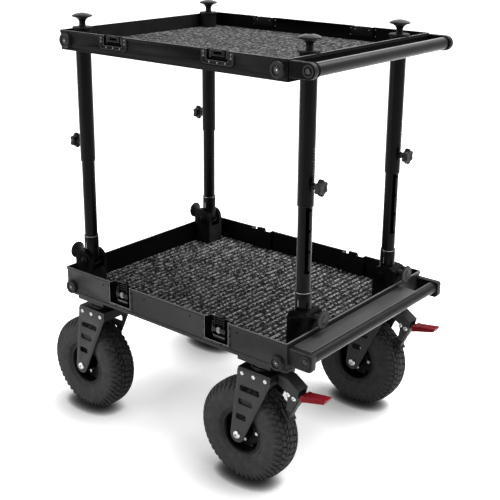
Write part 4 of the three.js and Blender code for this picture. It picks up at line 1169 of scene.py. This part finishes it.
# Posts: socket, lower tube with its ladder of notches, upper tube, and the three knobs
post = {
    "tube": 17, "bore": 14, "tubeTop": 337,
    "collar": 19.25, "collarFoot": 31, "collarTop": 68, "footOverlap": 4,
    "upper": 19.25, "upperWall": 1.75, "upperEnd": 270, "length": 561.7, "plug": 26, "plugFloor": 14,
    "screwHole": 5.6, "pivotHead": (12.1, 2.8, 4), "pivotFace": 27,
    # key: a bright strip on each side of the collar, a painted highlight
    "key": (2.4, 1, 16), "glintStripSink": 0.43, "glintStripRise": 40,
}
ladder = {
    "pitch": 49, "steps": 4, "start": 115, "turn": -35, "width": 8.5, "depth": 2.2,
    "notchTurn": -14, "notchWidth": 13, "notchHeight": 6, "notchCorner": 2.6, "clear": 3,
}


def carved(part, *cutters):
    body = newObject("carved", toMesh(part, "carved"))
    tools = [newObject("carver", toMesh(cutter, "carver")) for cutter in cutters]
    for tool in tools:
        carve = body.modifiers.new("carve", "BOOLEAN")
        carve.operation = "DIFFERENCE"
        carve.solver = "EXACT"
        carve.object = tool
    bpy.context.view_layer.update()
    depsgraph = bpy.context.evaluated_depsgraph_get()
    data = bpy.data.meshes.new_from_object(body.evaluated_get(depsgraph))
    part.clear()
    part.from_mesh(data)
    for spent in [data] + [tool.data for tool in tools] + [body.data]:
        bpy.data.meshes.remove(spent)
    return part


def ladderCutters():
    r, depth, clear = post["tube"], ladder["depth"], ladder["clear"]
    top = ladder["start"] + ladder["steps"] * ladder["pitch"]
    low = ladder["start"] - ladder["notchHeight"] / 2
    centre = (r - depth + (depth + clear) / 2, 0, (top + low) / 2)
    slot = moved(box((depth + clear, ladder["width"], top - low), centre), turn(ladder["turn"], "Z"))
    outline = roundedOutline(ladder["notchHeight"], ladder["notchWidth"], ladder["notchCorner"], 4)
    notch = moved(plate(outline, 0, depth + clear), alongX)
    notches = bmesh.new()
    for step in range(ladder["steps"]):
        around = turn(ladder["turn"] - ladder["notchTurn"], "Z")
        gather(notches, notch, around @ shift(r - depth - 0.05, 0, ladder["start"] + step * ladder["pitch"]))
    return slot, notches


def lowerPostBody():
    r, bore, top, collar, foot, shoulder = (
        post[key] for key in ("tube", "bore", "tubeTop", "collar", "collarFoot", "collarTop")
    )
    profile = [(0, foot)] + near(collar, foot, (-0.5, 0), (0, 0.5))
    profile += near(collar, shoulder, (0, -2.2), (-0.5, -1), (-1.6, 0))
    profile += near(r, shoulder, (0.4, 0), (0, 0.4))
    profile += near(r, top, (0, -0.8), (-0.8, 0)) + [(bore, top), (bore, shoulder), (0, shoulder)]
    tube = carved(lathe(profile, 72), *ladderCutters())
    # the groove and notches of the ladder are dead black: painted shade
    for face in tube.faces:
        face.material_index = int(face.calc_center_median().xy.length < r - 0.15)
    return tube


def upperPostBody():
    r, wall, end, top, hole = (post[key] for key in ("upper", "upperWall", "upperEnd", "length", "screwHole"))
    floor, plug = top - post["plugFloor"], top - post["plug"]
    profile = near(r, end, (-wall, 0), (-0.5, 0), (0, 0.5), (0, 3.5), (-0.25, 3.8), (-0.25, 4.6), (0, 4.9))
    profile += [(r, top), (hole, top), (hole, floor), (0, floor), (0, plug), (r - wall, plug)]
    boss = lathe([(4.4, 18), (4.4, 24.2), (7.4, 24.2), (8, 23.6), (8.2, 20), (9, 18.6)], 40)
    tube = lathe(profile, 72, closed=True)
    gather(tube, boss, shift(0, 0, knobs["star"]["rise"]) @ alongX)
    return tube


def collarRing():  # with a bright steel strip down each side of the collar, a painted highlight standing for a glint on it
    r, top = post["collar"], post["collarTop"]
    ring = lathe(near(r, top, (-1.7, -0.1), (-0.3, -1.5), (0.06, -2.6), (0.06, -3.4), (-0.5, -3.6)), 72)
    for face in (-1, 1):
        # bright steel strips: a painted highlight on the collar
        gather(ring, box(post["key"], (0, face * (r - post["glintStripSink"]), post["glintStripRise"])), None, 1)
    return ring


# Marks on the upper tube: plain ticks of two lengths that show the height setting
marks = {
    "count": 9, "first": 346, "pitch": 7, "turn": 3, "long": 5.5, "short": 3.2, "thick": 0.8, "skin": 0.12,
    "proud": 0.04, "longEvery": 4,
}


def heightMarks():
    bm = bmesh.new()
    r = post["upper"]
    for count in range(marks["count"]):
        length = marks["long"] if count % marks["longEvery"] == 0 else marks["short"]
        place = (r, 0, marks["first"] + count * marks["pitch"])
        tick = box((marks["skin"], length, marks["thick"]), place)
        wide = [e for e in tick.edges if abs((e.verts[0].co - e.verts[1].co).y) > 1]
        bmesh.ops.subdivide_edges(tick, edges=wide, cuts=3)
        for v in tick.verts:
            angle, lift = v.co.y / r, v.co.x + marks["proud"]
            v.co.xy = lift * math.cos(angle), lift * math.sin(angle)
        gather(bm, tick, turn(marks["turn"], "Z"))
    return bm


knobs = {
    "star": {
        "radius": 20, "lobes": 6, "lobeDepth": 4.6, "lobeStart": 9, "thick": 15, "neck": 7, "neckLength": 9,
        "seat": 24.55, "rise": 318,
    },
    "lock": {
        "seat": 35.5, "neck": 8, "neckLength": 10, "disc": 23, "flare": 11, "rise": 10, "grips": 18,
        "gripDepth": 0.045,
    },
    "tray": {"stem": 8.5, "stemLength": 13, "flare": 12, "head": 25.5, "rim": 2.5, "dome": 6},
}


def pulledIn(bm, least, pull):  # pull takes the distance from the axis and the angle
    for v in bm.verts:
        around = v.co.xy.length
        if around >= least:
            v.co.xy *= 1 - pull(around, math.atan2(v.co.y, v.co.x))
    return bm


def starKnob():
    r, neck, seat, start = (knobs["star"][key] for key in ("radius", "neck", "seat", "lobeStart"))
    face = seat + knobs["star"]["neckLength"]
    end = face + knobs["star"]["thick"]
    profile = [(0, 17.3), (4, 17.3), (4, seat), (neck, seat), (neck, face - 1), (neck + 1.4, face)]
    profile += [(r * 0.7, face + 0.2)] + near(r, face, (-1.6, 1.2), (-0.3, 2.8), (0, 4.5))
    profile += near(r, end, (0, -4.5), (-0.4, -2.6), (-1.8, -0.9)) + [(r * 0.72, end)]
    profile += near(0, end, (r * 0.45, -0.2), (7.4, -0.4), (7, -1.4), (0, -1.4))

    def pull(around, angle):
        wave = (1 - math.cos(knobs["star"]["lobes"] * angle)) / 2
        return knobs["star"]["lobeDepth"] / r * (wave ** 0.8) * min(1, (around - start) / 8)

    return pulledIn(lathe(profile, 96), start, pull)


def lockKnob():
    seat, neck, r, depth = (knobs["lock"][key] for key in ("seat", "neck", "disc", "gripDepth"))
    flare = seat + knobs["lock"]["neckLength"]
    disc = flare + knobs["lock"]["flare"]
    profile = [(0, 19.6), (4, 19.6), (4, seat), (neck, seat), (neck, flare), (neck + 2.5, flare + 3)]
    profile += near(r, disc, (-6, -3.4), (-1.5, -1), (-0.2, 0.3), (0, 1), (0, 2.2), (-0.6, 2.9), (-2, 3.4))
    profile += near(r, disc, (-5, 3.8), (-6, 3.4)) + near(0, disc, (9, 4.6), (7.5, 5.6), (0, 5.8))

    def pull(around, angle):
        return depth * ((1 + math.cos(knobs["lock"]["grips"] * angle)) / 2) ** 3

    return pulledIn(lathe(profile, 108), r - 3, pull)


def trayKnob(base, foot):
    r, stem, dome, rim = (knobs["tray"][key] for key in ("head", "stem", "dome", "rim"))
    flare = base + knobs["tray"]["stemLength"]
    head = flare + knobs["tray"]["flare"]
    brim = head + rim
    profile = [(0, foot), (5, foot), (5, base)] + near(stem, base, (0.4, 0), (0.6, 1.2), (0, 2), (-0.6, 7))
    profile += near(stem, flare, (-0.5, -1), (0.6, 2), (4, 6.4))
    profile += near(r, head, (-8, -2.6), (-2.4, -1.1), (-0.5, 0), (0, 0.8))
    profile += near(r, brim, (0, -0.5), (-0.7, 0.4), (-3, 1.6), (-8, 3.6), (-13.5, dome * 0.84))
    return lathe(profile + near(0, brim, (6.2, dome * 0.97), (5.6, dome * 0.8), (0, dome * 0.8)), 72)


def postFoot(name, pivot):  # the solid's own, below the collar
    foot = refinedNode("post_lower_" + name)
    cut = (0, 0, pivot.z + post["collarFoot"] + post["footOverlap"])
    whole = foot.verts[:] + foot.edges[:] + foot.faces[:]
    bmesh.ops.bisect_plane(foot, geom=whole, plane_co=cut, plane_no=(0, 0, 1), clear_outer=True)
    bmesh.ops.holes_fill(foot, edges=[e for e in foot.edges if e.is_boundary], sides=0)
    return soften(foot, 0.8)


def makePosts():
    lower, upper, ring, ticks = lowerPostBody(), upperPostBody(), collarRing(), heightMarks()
    star, lock, pivotHead = starKnob(), lockKnob(), buttonBolt(*post["pivotHead"])
    profile = [(5.9, -3), (5.9, 0.1), (23.5, 0.1), (24.8, -0.6), (25.1, -1.6), (25.1, -3.4), (24.6, -4.1)]
    sleeve = lathe(profile + [(22.3, -4.6), (22.1, -5.4), (22.1, -47)], 72)
    sleeves, pivotHeads = bmesh.new(), bmesh.new()
    topZ = nodeBox("top_tray")[1].z
    for name, place in corners.items():
        pivot = jointPlace("post_fold_" + name)
        at = shift(*pivot) @ turn(0 if place[0] > 0 else 180, "Z")
        socket, lowerBody, upperBody = "post_socket_" + name, "post_lower_" + name, "post_upper_" + name
        shape = soften(refinedNode(socket), 1.2, 3)
        finishPiece("socket_" + name, shape, "base", "socketPaint", [socket])
        for face in (-1, 1):
            seat = shift(pivot.x, pivot.y + face * post["pivotFace"], pivot.z)
            gather(pivotHeads, pivotHead, seat @ towards(face))
        tube = placed(lower, at, None)
        finishPiece("lower_tube_" + name, tube, lowerBody, ["tubePaint", "shadePaint"], [lowerBody])
        finishPiece("post_foot_" + name, postFoot(name, pivot), lowerBody, "tubePaint")
        finishPiece("upper_tube_" + name, placed(upper, at), upperBody, "tubePaint", [upperBody])
        finishPiece("height_marks_" + name, placed(ticks, at), upperBody, "paleInk")
        for title, shape in (("star", star), ("lock", lock)):
            grip = placed(shape, at @ shift(0, 0, knobs[title]["rise"]) @ alongX)
            node = title + "_knob_" + name
            finishPiece(title + "_grip_" + name, grip, node, "knobPlastic", [node])
        collar = placed(ring, at, None)
        finishPiece("collar_ring_" + name, collar, lowerBody, ["ringSteel", "dullSteel"])
        node = "tray_knob_" + name
        grip = placed(trayKnob(topZ + 0.3, nodeBox(node)[0].z), shift(pivot.x, pivot.y, 0))
        finishPiece("tray_grip_" + name, grip, node, "gripPlastic", [node])
        gather(sleeves, sleeve, shift(pivot.x, pivot.y, topZ))
    finishPiece("tray_sleeves", sleeves, "top_tray", "trayPlastic")
    finishPiece("pivot_heads", pivotHeads, "base", "socketPaint")


makePosts()
print("posts ready")


# Mats: one ribbed across the cart and cut round the sockets, one plain with holes for the sleeves
mats = {
    "lower_mat": {
        "body": "base", "tray": "lower_tray", "finish": "lowerPile", "cell": (2.53, 5.0),
        "ribPitch": 17.7, "ribDepth": 3.2, "uneven": 0.5, "notchIn": 26, "notchHalf": 28,
    },
    "top_mat": {
        "body": "top_tray", "tray": "top_tray", "finish": "topPile", "cell": (3.6, 3.6),
        "ribPitch": 0, "ribDepth": 0, "uneven": 0.7, "hole": 23,
    },
}
pile = {"rounding": 6, "drop": 2.4, "fine": 0.16, "slow": 0.02, "furrowHalf": 0.30, "furrowSide": 0.14}


def cutNotch(bm, mat, pivot):
    end, inner = math.copysign(1, pivot.x), abs(pivot.x) - mat["notchIn"]
    gone = [v for v in bm.verts if abs(v.co.y - pivot.y) < mat["notchHalf"] and end * v.co.x > inner]
    bmesh.ops.delete(bm, geom=gone, context="VERTS")


def cutHole(bm, mat, pivot):
    centre, radius, cell = Vector((pivot.x, pivot.y, 0)), mat["hole"], mat["cell"][0]
    gone = [v for v in bm.verts if (v.co - centre).length < radius - cell * 0.35]
    bmesh.ops.delete(bm, geom=gone, context="VERTS")
    for v in bm.verts:
        away = v.co - centre
        if away.length < radius + cell * 0.75 and v.is_boundary:
            v.co = centre + away.normalized() * radius


def furrowAt(x, mat):
    if not mat["ribPitch"]:
        return 0.0
    phase = (x / mat["ribPitch"]) % 1
    furrow = min(1.0, max(0.0, (pile["furrowHalf"] - abs(phase - 0.5)) / pile["furrowSide"]))
    return furrow * furrow * (3 - 2 * furrow)


def makeMat(name, mat):
    low, high = nodeBox(name)
    length, width, thick = high - low
    bm = bmesh.new()
    segments = [round(side / cell) for side, cell in zip((length, width), mat["cell"])]
    bmesh.ops.create_grid(bm, x_segments=segments[0], y_segments=segments[1], size=0.5)
    bmesh.ops.scale(bm, vec=(length, width, 1), verts=bm.verts)
    for corner in corners:
        cut = cutHole if "hole" in mat else cutNotch
        cut(bm, mat, jointPlace("post_fold_" + corner))
    layer = bm.verts.layers.float.new("furrow")
    under = set(newVerts(bmesh.ops.extrude_face_region(bm, geom=bm.faces[:])))
    bmesh.ops.translate(bm, verts=list(under), vec=(0, 0, -thick + mat["ribDepth"] * 0.5))
    for v in bm.verts:
        if v in under:
            continue
        x, y = v.co.x, v.co.y
        edge = min(length / 2 - abs(x), width / 2 - abs(y))
        rounding = max(0.0, 1 - edge / pile["rounding"])
        wave = noise.noise(Vector((x * pile["fine"], y * pile["fine"], 3.1))) * mat["uneven"] * 0.6
        wave += noise.noise(Vector((x * pile["slow"], y * pile["slow"], 9.7))) * mat["uneven"] * 0.4
        v[layer] = furrowAt(x, mat)
        v.co.z += min(0.0, wave * 0.5 - 0.25) - pile["drop"] * rounding ** 2 - v[layer] * mat["ribDepth"]
    bmesh.ops.recalc_face_normals(bm, faces=bm.faces)
    bmesh.ops.translate(bm, verts=bm.verts, vec=((low.x + high.x) / 2, (low.y + high.y) / 2, high.z))
    piece = finishPiece(name + "_pile", bm, mat["body"], mat["finish"], [name], 60)


for matName, matValues in mats.items():
    makeMat(matName, matValues)
print("mats ready")
